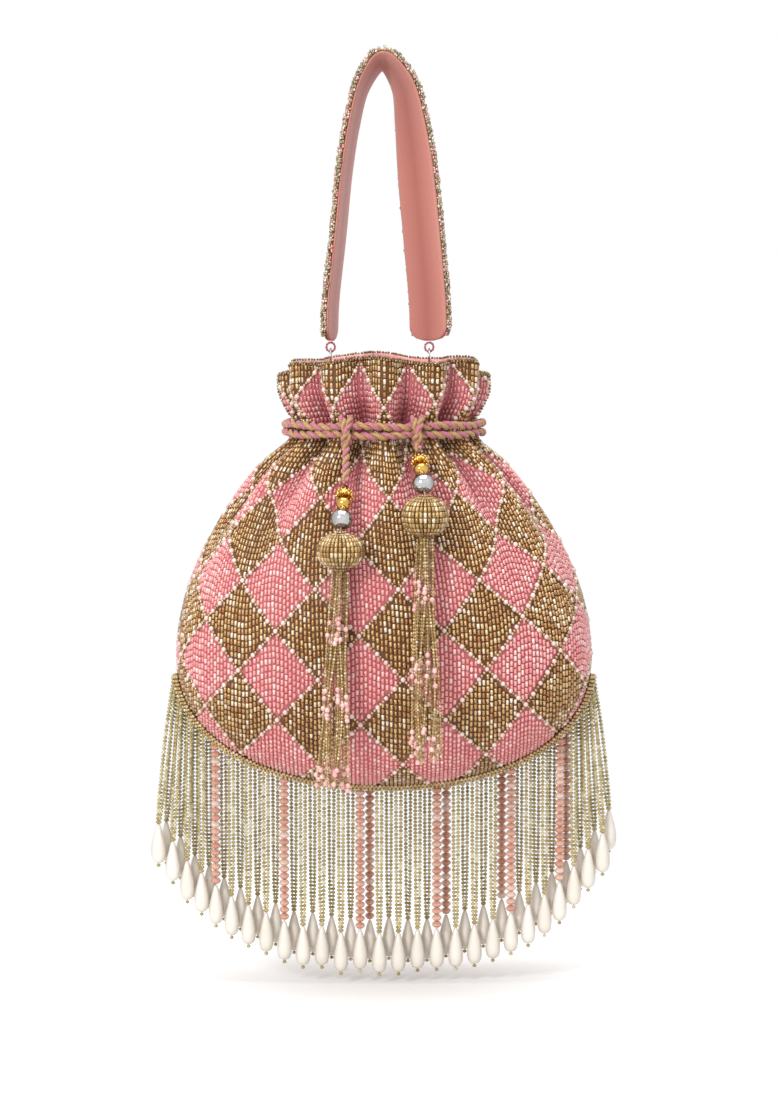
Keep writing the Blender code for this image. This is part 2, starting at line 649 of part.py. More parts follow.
def build_fringe(materials, parent):
    drops = drop_places()
    crystals = crystal_choice(drops)
    line, outside, length = seam_line(GAP + TAPE_THICKNESS / 2)
    sewn, _, sewn_length = seam_line(GAP + TAPE_THICKNESS - STRAND_EMBED)
    end_gap = TAPE_END_GAP / length[-1] / 2
    for piece in range(FRINGE_PIECES):
        places = np.linspace(piece / FRINGE_PIECES + end_gap, (piece + 1) / FRINGE_PIECES - end_gap, 9)
        middle = along(length, line, places)
        out = along(length, outside, places)
        centres = np.stack([middle[:, 0], np.zeros(len(places)), middle[:, 1]], axis=1)
        normals = np.stack([out[:, 0], np.zeros(len(places)), out[:, 1]], axis=1)
        widths = np.tile((0.0, 1.0, 0.0), (len(places), 1))
        half = TAPE_THICKNESS / 2
        tape = ribbon(centres, widths, normals, [TAPE_WIDTH / 2] * len(places), -half, half)
        fringe = add_mesh(f"fringe_{piece + 1}", *tape, materials["strands"], parent, BAG_ORIGIN)
        mine = range(piece * DROPS_PER_PIECE, (piece + 1) * DROPS_PER_PIECE)
        parts = [skin for i in mine if i not in crystals for skin in drop_skins(drops[i], sewn, sewn_length)]
        strands = add_mesh(f"fringe_{piece + 1}_strands", *joined(parts), materials["strands"], parent,
                           BAG_ORIGIN)
        strands.hide_render = True
        strands.display_type = "WIRE"
        union = fringe.modifiers.new("strands", "BOOLEAN")
        union.operation = "UNION"
        union.object = strands
        union.use_self = True
    for number, index in enumerate(crystals, 1):
        row, _, seam_x, seam_z, hanging_x, extra = drops[index]
        side_y = ROW_OFFSET * (1 if row else -1)
        start = np.array((seam_x, side_y, seam_z - GAP - abs(seam_x) / BELLY_HALF_WIDTH * MM))
        end = np.array((hanging_x, side_y, seam_z - STRAND_LENGTH - extra))
        reach = np.linalg.norm(end - start)
        profile = [(0, STRAND_RADIUS), (2 * MM, CRYSTAL_RADIUS), (reach - 1.5 * MM, CRYSTAL_RADIUS)]
        body = turned(start, end, profile + pearl_profile(reach), 6)
        add_mesh(f"crystal_strand_{number}", *body, materials["crystal"], parent, BAG_ORIGIN)


def skirt_rings(start, end, length, inset=0.0):
    """Rings of the fluted bell that the bead strands make, from its top to its foot."""
    direction = (end - start) / np.linalg.norm(end - start)
    first, second = across(direction)
    angles = np.linspace(0, 2 * math.pi, 2 * SKIRT_FLUTES, endpoint=False)
    flute = 1 - SKIRT_FLUTE_DEPTH * (np.arange(len(angles)) % 2)
    rings = []
    for share in SKIRT_SHARES:
        radius = skirt_radius(share) * (SKIRT_TUCK if share == 1.0 else 1.0) - inset
        circle = np.outer(np.cos(angles) * flute, first) + np.outer(np.sin(angles) * flute, second)
        rings.append(start + share * length * direction + radius * circle)
    return rings


def skirt_radius(share):
    return SKIRT_TOP_RADIUS + (SKIRT_FOOT_RADIUS - SKIRT_TOP_RADIUS) * share**0.8


def tassel_places(size):
    """Where a tassel lies: its cord, the cap's top, the melon and the two ends of the skirt."""
    cord = np.array((size["x"], -(NECK_HALF_DEPTH + CORD_RADIUS + CORD_SEAT), LOWER_CORD_Z))
    melon_z = cord[2] - size["drop"]
    melon_y = -(front_depth(size["melon_x"], melon_z) + MELON_RADIUS + LIE)
    melon = np.array((size["melon_x"], melon_y, melon_z))
    melon_top = melon + np.array((0, 0, size["melon"] / 2))
    string = CAP_LENGTH + GOLD_BEAD_LENGTH + SILVER_BEAD_LENGTH + MELON_SEAT + 2 * GAP
    rest_z = melon_top[2] + 0.85 * string
    rest = np.array((size["x"], -(front_depth(size["x"], rest_z) + CAP_RADIUS + LIE), rest_z))
    cap = melon_top + string * (rest - melon_top) / np.linalg.norm(rest - melon_top)
    top = melon + np.array((0, 0, -size["melon"] / 2 - SKIRT_SEAT))
    tilt = 0.0
    for share in np.linspace(0.05, 1, 40):
        drop = share * size["skirt"]
        z = top[2] - drop
        inward = (cord[2] - z) * math.sin(math.radians(SWING_IN))
        near_x = max(0.0, abs(size["foot_x"]) - inward)
        need = front_depth(near_x, z) + skirt_radius(share) + LIE
        tilt = max(tilt, (need + top[1]) / drop)
    foot = top + np.array((size["foot_x"] - size["melon_x"], -tilt * size["skirt"], -size["skirt"]))
    return cord, cap, melon, top, foot


def tail_route(cord, cap):
    """The cord's tail: from under the drawstring, over the shoulder, to the cap."""
    start = cord + np.array((0, 0, -CORD_RADIUS - HANG_GAP))
    end = cap + np.array((0, 0, HANG_GAP))
    middle = (start + end) / 2
    middle[1] = min(middle[1], -(front_depth(middle[0], middle[2]) + CORD_RADIUS + LIE))
    return smooth_path([start, middle, end], 7)


def build_tassel(name, size, materials, bag):
    cord, cap, melon, skirt_top, skirt_foot = tassel_places(size)
    swing = make_empty(f"{name}_tail_pivot", BAG_ORIGIN + Vector(cord), bag)
    lift = make_empty(f"{name}_tassel_pivot", BAG_ORIGIN + Vector(cap + (0, 0, HANG_GAP / 2)), swing)
    route = tail_route(cord, cap)
    radii = [TAIL_TIP_RADIUS] + [CORD_RADIUS] * (len(route) - 2) + [TAIL_TIP_RADIUS]
    add_tube(f"{name}_tail", route, CORD_RADIUS, materials["cord"], swing, BAG_ORIGIN, radii=radii)

    bore = THREAD_RADIUS + THREAD_SLACK
    melon_top = melon + np.array((0, 0, size["melon"] / 2))
    line = (melon_top - cap) / np.linalg.norm(melon_top - cap)
    cap_profile = [(0, CAP_TOP_RADIUS), (0.35 * CAP_LENGTH, 0.55 * CAP_RADIUS),
                   (0.75 * CAP_LENGTH, CAP_RADIUS), (CAP_LENGTH, 0.8 * CAP_RADIUS)]
    cap_skin = turned(cap, melon_top, cap_profile, 8, bore=bore)
    add_mesh(f"{name}_bead_cap", *cap_skin, materials["gold"], lift, BAG_ORIGIN)
    gold_start = CAP_LENGTH + GAP
    gold = ball_profile(GOLD_BEAD_LENGTH, GOLD_BEAD_RADIUS, 1.4 * MM, 5)
    gold_skin = turned(cap + line * gold_start, melon_top, gold, 8, bore=bore)
    add_mesh(f"{name}_gold_bead", *gold_skin, materials["gold"], lift, BAG_ORIGIN)
    silver_start = gold_start + GOLD_BEAD_LENGTH + GAP
    silver = ball_profile(SILVER_BEAD_LENGTH, SILVER_BEAD_RADIUS, 1.8 * MM, 6)
    silver_skin = turned(cap + line * silver_start, melon_top, silver, 10, bore=bore)
    add_mesh(f"{name}_silver_bead", *silver_skin, materials["silver"], lift, BAG_ORIGIN)

    melon_foot = melon - np.array((0, 0, size["melon"] / 2))
    melon_shape = ball_profile(size["melon"], MELON_RADIUS, 3.0 * MM, 7)
    melon_skin = turned(melon_top, melon_foot, melon_shape, 12, bore=bore)
    add_mesh(f"{name}_melon", *melon_skin, materials["beadwork"], lift, BAG_ORIGIN)
    thread = [cap + line * MM, melon_top, melon_foot]
    add_tube(f"{name}_thread", thread, THREAD_RADIUS, materials["cord"], lift, BAG_ORIGIN, rounding=0)
    outside = skirt_rings(skirt_top, skirt_foot, size["skirt"])
    inside = skirt_rings(skirt_top, skirt_foot, size["skirt"], inset=SKIRT_WALL)
    skirt_skin = skin(outside + inside[::-1], wrap=True)
    add_mesh(f"{name}_skirt", *skirt_skin, materials["strands"], lift, BAG_ORIGIN)


def main():
    clear_scene()
    materials = make_materials()
    handle = make_empty("handle_grip", HANDLE_ORIGIN)
    bag = make_empty("bag_hinge", Vector((0, 0, HINGE_Z)), handle)
    build_handle(materials, handle)
    build_rings(materials, handle, bag)
    build_panel("front_panel", 1, materials["beadwork"], bag)
    build_panel("back_panel", -1, materials["beadwork"], bag)
    build_lining(materials["lining"], bag)
    build_drawstring(materials, bag)
    build_fringe(materials, bag)
    build_tassel("left", LEFT_TASSEL, materials, bag)
    build_tassel("right", RIGHT_TASSEL, materials, bag)


main()
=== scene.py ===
"""A beaded potli bag: panels of glass bugle beads in a lozenge lattice, gathered by two
twisted cords, with two bead tassels, a fringe of strands and drop pearls, and a strap.

Lengths in the classes are millimetres. The front of the bag faces -Y and Z is up.
"""

import logging
import math
from collections.abc import Sequence
from dataclasses import dataclass, field
from enum import Enum

import bpy
import numpy as np
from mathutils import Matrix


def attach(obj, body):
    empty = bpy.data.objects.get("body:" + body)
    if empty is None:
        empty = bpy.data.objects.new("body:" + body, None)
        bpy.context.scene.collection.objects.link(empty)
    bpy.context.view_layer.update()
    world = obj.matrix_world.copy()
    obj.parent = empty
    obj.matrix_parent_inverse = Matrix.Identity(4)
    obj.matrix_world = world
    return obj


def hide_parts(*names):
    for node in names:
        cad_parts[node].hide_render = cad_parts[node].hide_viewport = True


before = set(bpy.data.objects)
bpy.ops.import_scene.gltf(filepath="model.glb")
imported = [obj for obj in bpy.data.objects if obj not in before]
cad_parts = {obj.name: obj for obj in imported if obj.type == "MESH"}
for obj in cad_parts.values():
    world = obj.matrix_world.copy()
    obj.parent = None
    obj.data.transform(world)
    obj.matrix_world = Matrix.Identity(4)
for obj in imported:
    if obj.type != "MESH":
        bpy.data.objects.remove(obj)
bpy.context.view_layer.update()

MM = 0.001
SEED = 20
UP = np.array([[0.0, 0.0, 1.0]])
BEAD_GUIDE_LIMIT = 0.9  # a bead whose axis is nearer to Y than this is guided by X
TUBE_GUIDE_LIMIT = 0.8  # the same for a tube's mean direction
LOG = logging.getLogger("potli_bag")
Array = np.ndarray
Piece = bpy.types.Object
Rng = np.random.Generator


class Side(Enum):
    """Which panel of the bag, by the sign of its Y."""

    FRONT = -1
    BACK = 1


class Tone(Enum):
    """The colour that a bead of the lattice takes."""

    PINK = 0
    GOLD = 1


# Meshes


@dataclass(frozen=True)
class Shape:
    """A small closed shape about the origin, one unit long on Z and one in radius.

    Attributes:
        points: The shape's points, one row each.
        corners: The point of each face corner, in order.
        totals: How many corners each face has.
    """

    points: Array
    corners: Array
    totals: Array


@dataclass
class Soup:
    """Mesh parts that are gathered before they become one object."""

    points: list[Array] = field(default_factory=list)
    corners: list[Array] = field(default_factory=list)
    totals: list[Array] = field(default_factory=list)
    tints: list[Array] = field(default_factory=list)
    tones: list[Array] = field(default_factory=list)
    count: int = 0

    def add(self, points: Array, corners: Array, totals: Array, tint: Array | float = 0.5,
            tone: Array | float = 0.0) -> None:
        """Adds one part.

        Args:
            points: The part's points in millimetres.
            corners: The point of each face corner, counted from 0.
            totals: The number of corners of each face.
            tint: A value from 0 to 1 for each point that varies its colour.
            tone: Which of a finish's two colours each point takes.
        """
        self.points.append(points)
        self.corners.append(corners + self.count)
        self.totals.append(totals)
        self.tints.append(np.broadcast_to(tint, len(points)))
        self.tones.append(np.broadcast_to(tone, len(points)))
        self.count += len(points)

    def build(self, name: str, smooth: bool = True) -> Piece:
        """Makes the object, with its tint and tone as point attributes.

        Args:
            name: The piece's name.
            smooth: Whether its faces are shaded smooth.

        Returns:
            The new object, linked to the scene at the origin.
        """
        points = np.concatenate(self.points) * MM
        corners = np.concatenate(self.corners).astype(np.int32)
        totals = np.concatenate(self.totals).astype(np.int32)
        mesh = bpy.data.meshes.new(name)
        mesh.vertices.add(len(points))
        mesh.vertices.foreach_set("co", points.astype(np.float32).ravel())
        mesh.loops.add(len(corners))
        mesh.loops.foreach_set("vertex_index", corners)
        mesh.polygons.add(len(totals))
        starts = np.concatenate([[0], np.cumsum(totals)[:-1]]).astype(np.int32)
        mesh.polygons.foreach_set("loop_start", starts)
        mesh.polygons.foreach_set("loop_total", totals)
        mesh.polygons.foreach_set("use_smooth", np.full(len(totals), smooth))
        for label, values in (("tint", self.tints), ("tone", self.tones)):
            layer = mesh.attributes.new(label, "FLOAT", "POINT")
            layer.data.foreach_set("value", np.concatenate(values).astype(np.float32))
        mesh.update(calc_edges=True)
        piece = bpy.data.objects.new(name, mesh)
        bpy.context.scene.collection.objects.link(piece)
        return piece


def turned_shape(profile: Sequence[tuple[float, float]], sides: int) -> Shape:
    """A shape of revolution about Z: each (height, radius) of the profile is a ring of
    points, and the two ends of the unit length are single points.

    Args:
        profile: Heights from -0.5 to 0.5 and radii from 0 to 1, from the foot up.
        sides: How many points a ring has.

    Returns:
        The closed shape, its faces outward.
    """
    turn = np.arange(sides) * 2 * np.pi / sides
    rings = [np.stack([r * np.cos(turn), r * np.sin(turn), np.full(sides, z)], axis=1)
             for z, r in profile]
    points = np.concatenate([*rings, [[0, 0, -0.5], [0, 0, 0.5]]])
    step = np.arange(sides)
    after = (step + 1) % sides
    quads = [np.stack([a + step, a + after, a + sides + after, a + sides + step], axis=1)
             for a in range(0, sides * (len(profile) - 1), sides)]
    foot, top = len(points) - 2, len(points) - 1
    last = sides * (len(profile) - 1)
    low = np.stack([np.full(sides, foot), after, step], axis=1)
    high = np.stack([np.full(sides, top), last + step, last + after], axis=1)
    corners = np.concatenate([np.concatenate(quads).ravel(), low.ravel(), high.ravel()])
    totals = np.concatenate([np.full(sides * len(quads), 4), np.full(2 * sides, 3)])
    return Shape(points, corners, totals)


def unit(vectors: Array) -> Array:
    """Each row divided by its own length."""
    return vectors / np.maximum(np.linalg.norm(vectors, axis=-1, keepdims=True), 1e-9)


def set_beads(soup: Soup, shape: Shape, centres: Array, axes: Array, lengths: Array | float,
              radii: Array | float, tint: Array | float = 0.5, tone: Array | float = 0.0) -> None:
    """Copies a shape to many places at once: each copy's points are its centre plus the
    shape's x and y times its radius, across its axis, plus the shape's z times its length.

    Args:
        soup: Where the copies go.
        shape: The shape to copy.
        centres: The copies' centres.
        axes: The direction of each copy's Z.
        lengths: Each copy's length.
        radii: Each copy's radius.
        tint: Each copy's tint.
        tone: Each copy's tone.
    """
    count = len(centres)
    if not count:
        return
    axis = unit(np.broadcast_to(axes, (count, 3)).astype(float))
    guide = np.where(np.abs(axis[:, 1:2]) < BEAD_GUIDE_LIMIT, [[0.0, 1.0, 0.0]], [[1.0, 0.0, 0.0]])
    first = unit(np.cross(guide, axis))
    second = np.cross(axis, first)
    wide = np.broadcast_to(radii, count)[:, None, None]
    long = np.broadcast_to(lengths, count)[:, None, None]
    local = shape.points[None]
    points = (centres[:, None] + local[..., 0:1] * wide * first[:, None]
              + local[..., 1:2] * wide * second[:, None] + local[..., 2:3] * long * axis[:, None])
    per_point = len(shape.points)
    corners = shape.corners[None] + per_point * np.arange(count)[:, None]
    soup.add(points.reshape(-1, 3), corners.ravel(), np.tile(shape.totals, count),
             np.repeat(np.broadcast_to(tint, count), per_point),
             np.repeat(np.broadcast_to(tone, count), per_point))


def grid_skin(soup: Soup, outer: Array, inner: Array, wrap: bool = False,
              tone: tuple[float, float] = (0.0, 0.0), tint: Array | float = 0.5) -> None:
    """A sheet with a thickness: the outer and the inner grid of points, joined along
    every open edge, so that the mesh is closed.

    Args:
        soup: Where the sheet goes.
        outer: Rows by columns by 3, seen from outside with rows down and columns right.
        inner: The same grid on the inside.
        wrap: Whether the last column joins the first.
        tone: The tone of the outer and the inner grid.
        tint: A tint for each point of a grid, rows by columns.
    """
    rows, columns = outer.shape[:2]
    number = np.arange(rows * columns).reshape(rows, columns)
    if wrap:
        number = np.concatenate([number, number[:, :1]], axis=1)
    a, b, c, d = number[:-1, :-1], number[:-1, 1:], number[1:, 1:], number[1:, :-1]
    face = np.stack([a, d, c, b], axis=-1).reshape(-1, 4)
    back = rows * columns
    edges = [(number[0, 1:], number[0, :-1]), (number[-1, :-1], number[-1, 1:])]
    if not wrap:
        edges += [(number[:-1, 0], number[1:, 0]), (number[1:, -1], number[:-1, -1])]
    rims = [np.stack([s, s + back, e + back, e], axis=-1) for s, e in edges]
    quads = np.concatenate([face, face[:, ::-1] + back, *rims])
    points = np.concatenate([outer.reshape(-1, 3), inner.reshape(-1, 3)])
    tones = np.repeat(tone, rows * columns)
    tints = np.tile(np.broadcast_to(tint, (rows, columns)).ravel(), 2)
    soup.add(points, quads.ravel(), np.full(len(quads), 4), tints, tones)


def tube_skin(soup: Soup, path: Array, radii: Array | float, sides: int = 8,
              closed: bool = False, tint: Array | float = 0.5, tone: float = 0.0) -> None:
    """A round tube along a path: each ring lies across the path, and all of them start from
    one guide direction.

    Args:
        soup: Where the tube goes.
        path: The points of its centreline.
        radii: Its radius, or one for each point.
        sides: How many points a ring has.
        closed: Whether the path is a loop.
        tint: The tint of each point of the path.
        tone: The tone of the tube.
    """
    count = len(path)
    if closed:
        along = unit(np.roll(path, -1, axis=0) - np.roll(path, 1, axis=0))
        guide = UP[0]
    else:
        along = unit(np.gradient(path, axis=0))
        crosses_y = abs(unit(along.mean(axis=0))[1]) < TUBE_GUIDE_LIMIT
        guide = np.array([0.0, 1.0, 0.0] if crosses_y else [1.0, 0.0, 0.0])
    first = unit(np.cross(guide, along))
    second = np.cross(along, first)
    turn = np.arange(sides) * 2 * np.pi / sides
    wide = np.broadcast_to(radii, count)[:, None, None]
    rings = path[:, None] + wide * (np.cos(turn)[:, None] * first[:, None]
                                    + np.sin(turn)[:, None] * second[:, None])
    number = np.arange(count * sides).reshape(count, sides)
    ahead = np.roll(number, -1, axis=0) if closed else number[1:]
    here = number if closed else number[:-1]
    quads = np.stack([here, np.roll(here, -1, axis=1), np.roll(ahead, -1, axis=1), ahead],
                     axis=-1).reshape(-1, 4)
    corners, totals = quads.ravel(), np.full(len(quads), 4)
    if not closed:
        corners = np.concatenate([corners, number[0, ::-1], number[-1]])
        totals = np.append(totals, [sides, sides])
    tints = np.repeat(np.broadcast_to(tint, count), sides)
    soup.add(rings.reshape(-1, 3), corners, totals, tints, tone)


def spaced_line(path: Array, positions: Array) -> tuple[Array, Array]:
    """Points and directions at given shares of a path's length.

    Args:
        path: The points of the path.
        positions: Shares from 0 to 1.

    Returns:
        The points, and the unit directions at them.
    """
    steps = np.linalg.norm(np.diff(path, axis=0), axis=1)
    travel = np.concatenate([[0], np.cumsum(steps)])
    share = travel / travel[-1]
    points = np.stack([np.interp(positions, share, path[:, i]) for i in range(3)], axis=1)
    slope = np.gradient(path, travel, axis=0)
    ways = np.stack([np.interp(positions, share, slope[:, i]) for i in range(3)], axis=1)
    return points, unit(ways)


def length_of(path: Array) -> float:
    """The length of a path."""
    return float(np.linalg.norm(np.diff(path, axis=0), axis=1).sum())


def bead_places(path: Array, pitch: float) -> tuple[Array, Array, int]:
    """Evenly spaced places for the beads of a strand, half a step in from both ends.

    Args:
        path: The points of the strand.
        pitch: The least distance from one bead to the next.

    Returns:
        The places, the unit directions at them, and how many there are.
    """
    count = int(length_of(path) / pitch)
    centres, ways = spaced_line(path, (np.arange(count) + 0.5) / count)
    return centres, ways, count


BEAD = turned_shape([(-0.4, 1.0), (0.4, 1.0)], 6)
ROUND_BEAD = turned_shape([(-0.24, 0.95), (0.24, 0.95)], 6)
PEARL = turned_shape([(-0.36, 0.69), (0.0, 1.0), (0.36, 0.69)], 8)
RONDELLE = turned_shape([(-0.46, 0.58), (-0.16, 1.0), (0.16, 1.0), (0.46, 0.58)], 8)
DROP = turned_shape([(-0.49, 0.4), (-0.46, 0.66), (-0.4, 0.86), (-0.31, 0.97), (-0.2, 1.0),
                     (-0.07, 0.96), (0.08, 0.82), (0.22, 0.62), (0.36, 0.41), (0.46, 0.24)], 18)
BALL = turned_shape([(-0.5 * math.cos(a), math.sin(a)) for a in np.radians(range(15, 180, 15))], 20)
CAP = turned_shape([(-0.47, 0.84), (-0.4, 1.0), (-0.2, 0.98), (0.1, 0.72), (0.32, 0.4), (0.46, 0.26)], 20)


# The bag's shape


@dataclass(frozen=True)
class BagForm:
    """The filled bag: an elliptical section that widens from a gathered neck to the belly
    and closes to a seam along the bottom, with folds that fade out below the neck.

    Attributes:
        neck_z: Height of the gathered neck.
        ruffle: Height of the ruffle above the neck.
        shoulder: From the neck down to the belly.
        bottom: From the belly down to the seam.
        neck: Half width and half depth at the neck.
        rim: Half width and half depth at the rim.
        belly: Half width and half depth at the belly.
        power: Power of the superellipse that the bottom follows.
        folds: Folds round the whole bag.
        neck_fold: Half depth of a fold at the neck.
        rim_fold: Half depth of a fold at the rim.
        fold_reach: How soon the folds fade out, as a share of the shoulder.
        fold_shape: Power that keeps the crests broad and the valleys narrow.
        pinch_reach: How far from the neck the cord's pinch is felt.
        seam_gap: Gap between the front and the back panel.
        set_back: How far the seam plane stands behind the handle.
        lift_from: Share of the ruffle above which the rim waves.
        wave: Height of the rim's wave.
        corner_drop: How far the rim drops at the side slits.
        wall: Depth of a panel, beads and cloth.
    """

    neck_z: float = -181.0
    ruffle: float = 34.5
    shoulder: float = 115.0
    bottom: float = 65.0
    neck: tuple[float, float] = (46.5, 33.0)
    rim: tuple[float, float] = (53.0, 39.5)
    belly: tuple[float, float] = (104.5, 58.0)
    power: float = 2.2
    folds: int = 12
    neck_fold: float = 5.5
    rim_fold: float = 3.3
    fold_reach: float = 0.41
    fold_shape: float = 1.3
    pinch_reach: float = 10.0
    seam_gap: float = 0.3
    set_back: float = 6.0
    lift_from: float = 0.35
    wave: float = 1.6
    corner_drop: float = 8.0
    wall: float = 1.6

    @property
    def belly_z(self) -> float:
        """Height of the widest section."""
        return self.neck_z - self.shoulder

    @property
    def rim_z(self) -> float:
        """Height of the rim before its wave."""
        return self.neck_z + self.ruffle

    def left_of(self, drop: Array) -> Array:
        """How much of the belly's section is left at a share of the way down to the seam."""
        return (1 - np.clip(drop, 0, 1) ** self.power) ** (1 / self.power)

    def section(self, z: Array) -> tuple[Array, Array, Array]:
        """The bag's sizes at each height: above the neck they go from the neck's to the rim's
        by a sine, below it to the belly's by a sine, and under the belly they shrink with the
        bottom's superellipse. The cord's pinch holds both back near the neck.

        Args:
            z: The heights.

        Returns:
            The half widths, the half depths and the half depths of the folds.
        """
        z = np.asarray(z, float)
        above = np.clip((z - self.neck_z) / self.ruffle, 0, 1)
        below = np.clip((self.neck_z - z) / self.shoulder, 0, 1)
        pinch = 1 - np.exp(-((z - self.neck_z) / self.pinch_reach) ** 2)
        flare = np.sin(np.pi / 2 * np.minimum(1, above / 0.6)) * pinch
        swell = np.sin(np.pi / 2 * below**0.92) * pinch
        left = self.left_of((self.belly_z - z) / self.bottom)
        sizes = [np.where(z >= self.neck_z, neck + (rim - neck) * flare,
                          (neck + (belly - neck) * swell) * left)
                 for neck, rim, belly in zip(self.neck, self.rim, self.belly)]
        fold = np.where(z >= self.neck_z, self.neck_fold + (self.rim_fold - self.neck_fold) * above,
                        self.neck_fold * np.exp(-((below / self.fold_reach) ** 2)))
        return sizes[0], sizes[1], np.where(z < self.belly_z, 0.0, fold)

    def lift(self, angle: Array, z: Array) -> Array:
        """How far the rim's wave and its side slits move a point up or down: a cosine round the
        bag less the slits' drop, times the square of how far up the ruffle the point lies.

        Args:
            angle: The points' angles round the bag.
            z: Their heights.

        Returns:
            The rise of each point.
        """
        corner = np.abs(np.sin(angle)) ** 10
        wave = self.wave * np.cos(5 * angle + 0.6) * (1 - corner) - self.corner_drop * corner
        share = (z - self.neck_z) / self.ruffle
        return wave * (np.clip((share - self.lift_from) / (1 - self.lift_from), 0, 1)) ** 2

    def front_depth(self, x: Array, z: Array) -> Array:
        """How far the front of the bag stands out from the seam plane."""
        width, depth, _ = self.section(z)
        return depth * np.sqrt(np.clip(1 - (x / np.maximum(width, 1e-6)) ** 2, 0, 1))

    def seam_z(self, x: Array, inset: float = 0.0) -> Array:
        """Height of the bottom seam under each x."""
        return self.belly_z - (self.bottom - inset) * self.left_of(np.abs(x) / (self.belly[0] - inset))


@dataclass(frozen=True)
class Lattice:
    """The lozenge lattice of a panel. A point's column runs from the left side seam to the
    right one; whole columns and rows that add up to an even number are lozenge centres.
    At the belly columns are evenly spaced round the bag, and at the neck each odd column
    lies on the crest of a fold.

    Attributes:
        form: The bag's shape.
        half_width: From one column to the next, round the belly.
        half_height: From one row to the next.
        centre: Where round the belly column 0 lies.
        row_zero: Height of row 0 at the middle.
        rise: How far rows rise to the sides, by x and by its square.
        crests: The angles at the neck of columns -3, -1, 1, 3 and 5.
        pull: Power of the blend from the belly's columns to the neck's.
        valley_shade: How far the beads in the deepest valleys turn to their other tone, a painted shade in
            the folds.
        side_gap: How far from the side seams the lines stop, in columns.
        end_gaps: How far from the rim and from the bottom seam the lines stop.
    """

    form: BagForm = BagForm()
    half_width: float = 21.0
    half_height: float = 22.0
    centre: float = -11.5
    row_zero: float = -301.5
    rise: tuple[float, float] = (0.037, 0.00115)
    crests: tuple[float, ...] = (-60.0, -30.0, 0.0, 30.0, 60.0)
    pull: float = 1.5
    valley_shade: float = 0.8
    side_gap: float = 0.08
    end_gaps: tuple[float, float] = (2.5, 1.5)

    def belly_table(self) -> tuple[Array, Array]:
        """Measures the belly's section from side seam to side seam.

        Returns:
            Distances round the belly from its middle, and the angles that they belong to.
        """
        angles = np.radians(np.linspace(-90, 90, 721))
        wide, deep = self.form.belly
        steps = np.hypot(wide * np.cos(angles), deep * np.sin(angles))
        arc = np.concatenate([[0], np.cumsum((steps[1:] + steps[:-1]) / 2 * np.diff(angles))])
        return arc - arc[-1] / 2, angles

    def ends(self) -> tuple[float, float]:
        """The columns of the two side seams."""
        arc, _ = self.belly_table()
        return (arc[0] - self.centre) / self.half_width, (arc[-1] - self.centre) / self.half_width

    def angle(self, column: Array, z: Array) -> Array:
        """The angle round the bag at which a column passes each height: a blend from its angle
        at the belly to its angle at the neck, by a power of the height.

        Args:
            column: The columns.
            z: The heights.

        Returns:
            The angles, in radians from the middle of the panel.
        """
        arc, angles = self.belly_table()
        first, last = self.ends()
        at_belly = np.interp(column * self.half_width + self.centre, arc, angles)
        knots = [first, *range(-3, 6, 2), last]
        at_neck = np.radians(np.interp(column, knots, [-90.0, *self.crests, 90.0]))
        height = np.clip((z - self.form.belly_z) / self.form.shoulder, 0, 1) ** self.pull
        return at_belly + (at_neck - at_belly) * height

    def point(self, column: Array, z: Array, inset: float, side: Side) -> Array:
        """Points of a panel. Above the belly a point lies on the ellipse of its height at its
        column's angle, less the dip of the folds; below it, it keeps its column's x and
        lies on the bottom's superellipse.

        Args:
            column: The points' columns.
            z: Their heights.
            inset: How far inside the panel's outer skin they lie.
            side: Which panel they are on.

        Returns:
            The points, with x, y and z last.
        """
        form = self.form
        column, z = np.broadcast_arrays(np.asarray(column, float), np.asarray(z, float))
        angle = self.angle(column, z)
        width, depth, fold = form.section(z)
        dip = 2 * fold * np.abs(np.sin(form.folds / 2 * angle)) ** (2 * form.fold_shape)
        high = z >= form.belly_z
        wide, deep, tall = form.belly[0] - inset, form.belly[1] - inset, form.bottom - inset
        left = np.maximum(form.left_of((form.belly_z - z) / tall), 1e-6)
        low_x = wide * np.sin(angle)
        low_y = deep * left * np.sqrt(np.clip(1 - (low_x / (wide * left)) ** 2, 0, 1))
        x = np.where(high, (width - inset - dip) * np.sin(angle), low_x)
        y = np.where(high, (depth - inset - dip) * np.cos(angle), low_y)
        y = side.value * (form.seam_gap / 2 + y) + form.set_back
        return np.stack([x, y, z + form.lift(angle, z)], axis=-1)

    def lines(self, columns: Array, inset: float, high: int = 64, low: int = 26,
              foot: float = 0.985) -> Array:
        """Heights along each column from the rim to the bottom seam, closer together near
        the seam, where the panel turns under.

        Args:
            columns: The columns.
            inset: How far inside the panel's skin they run.
            high: How many heights lie above the belly.
            low: How many lie below it.
            foot: How far round the turn to the seam they go.

        Returns:
            The heights, columns by rows.
        """
        form = self.form
        top = np.linspace(form.rim_z, form.belly_z, high)
        at_belly = self.angle(columns, np.full_like(columns, form.belly_z))
        x = (form.belly[0] - inset) * np.sin(at_belly)
        reach = form.belly_z - form.seam_z(x, inset)
        turn = np.sin(np.pi / 2 * np.linspace(0, 1, low + 1)[1:] * foot)
        return np.concatenate([np.tile(top, (len(columns), 1)),
                               form.belly_z - reach[:, None] * turn], axis=1)

    def row(self, x: Array, z: Array) -> Array:
        """The lattice row of each point."""
        return (self.row_zero + self.rise[0] * x + self.rise[1] * x**2 - z) / self.half_height

    def painted_valley_shade(self, column: Array, z: Array) -> Array:
        """How deep in a fold each point lies, for the painted shade that darkens its bead there.

        Args:
            column: The points' columns.
            z: Their heights.

        Returns:
            Values from 0 on the crests to the greatest painted shade in the neck's valleys.
        """
        form = self.form
        fold = form.section(z)[2] / form.neck_fold
        wave = np.abs(np.sin(form.folds / 2 * self.angle(column, z))) ** (2 * form.fold_shape)
        return self.valley_shade * fold * wave

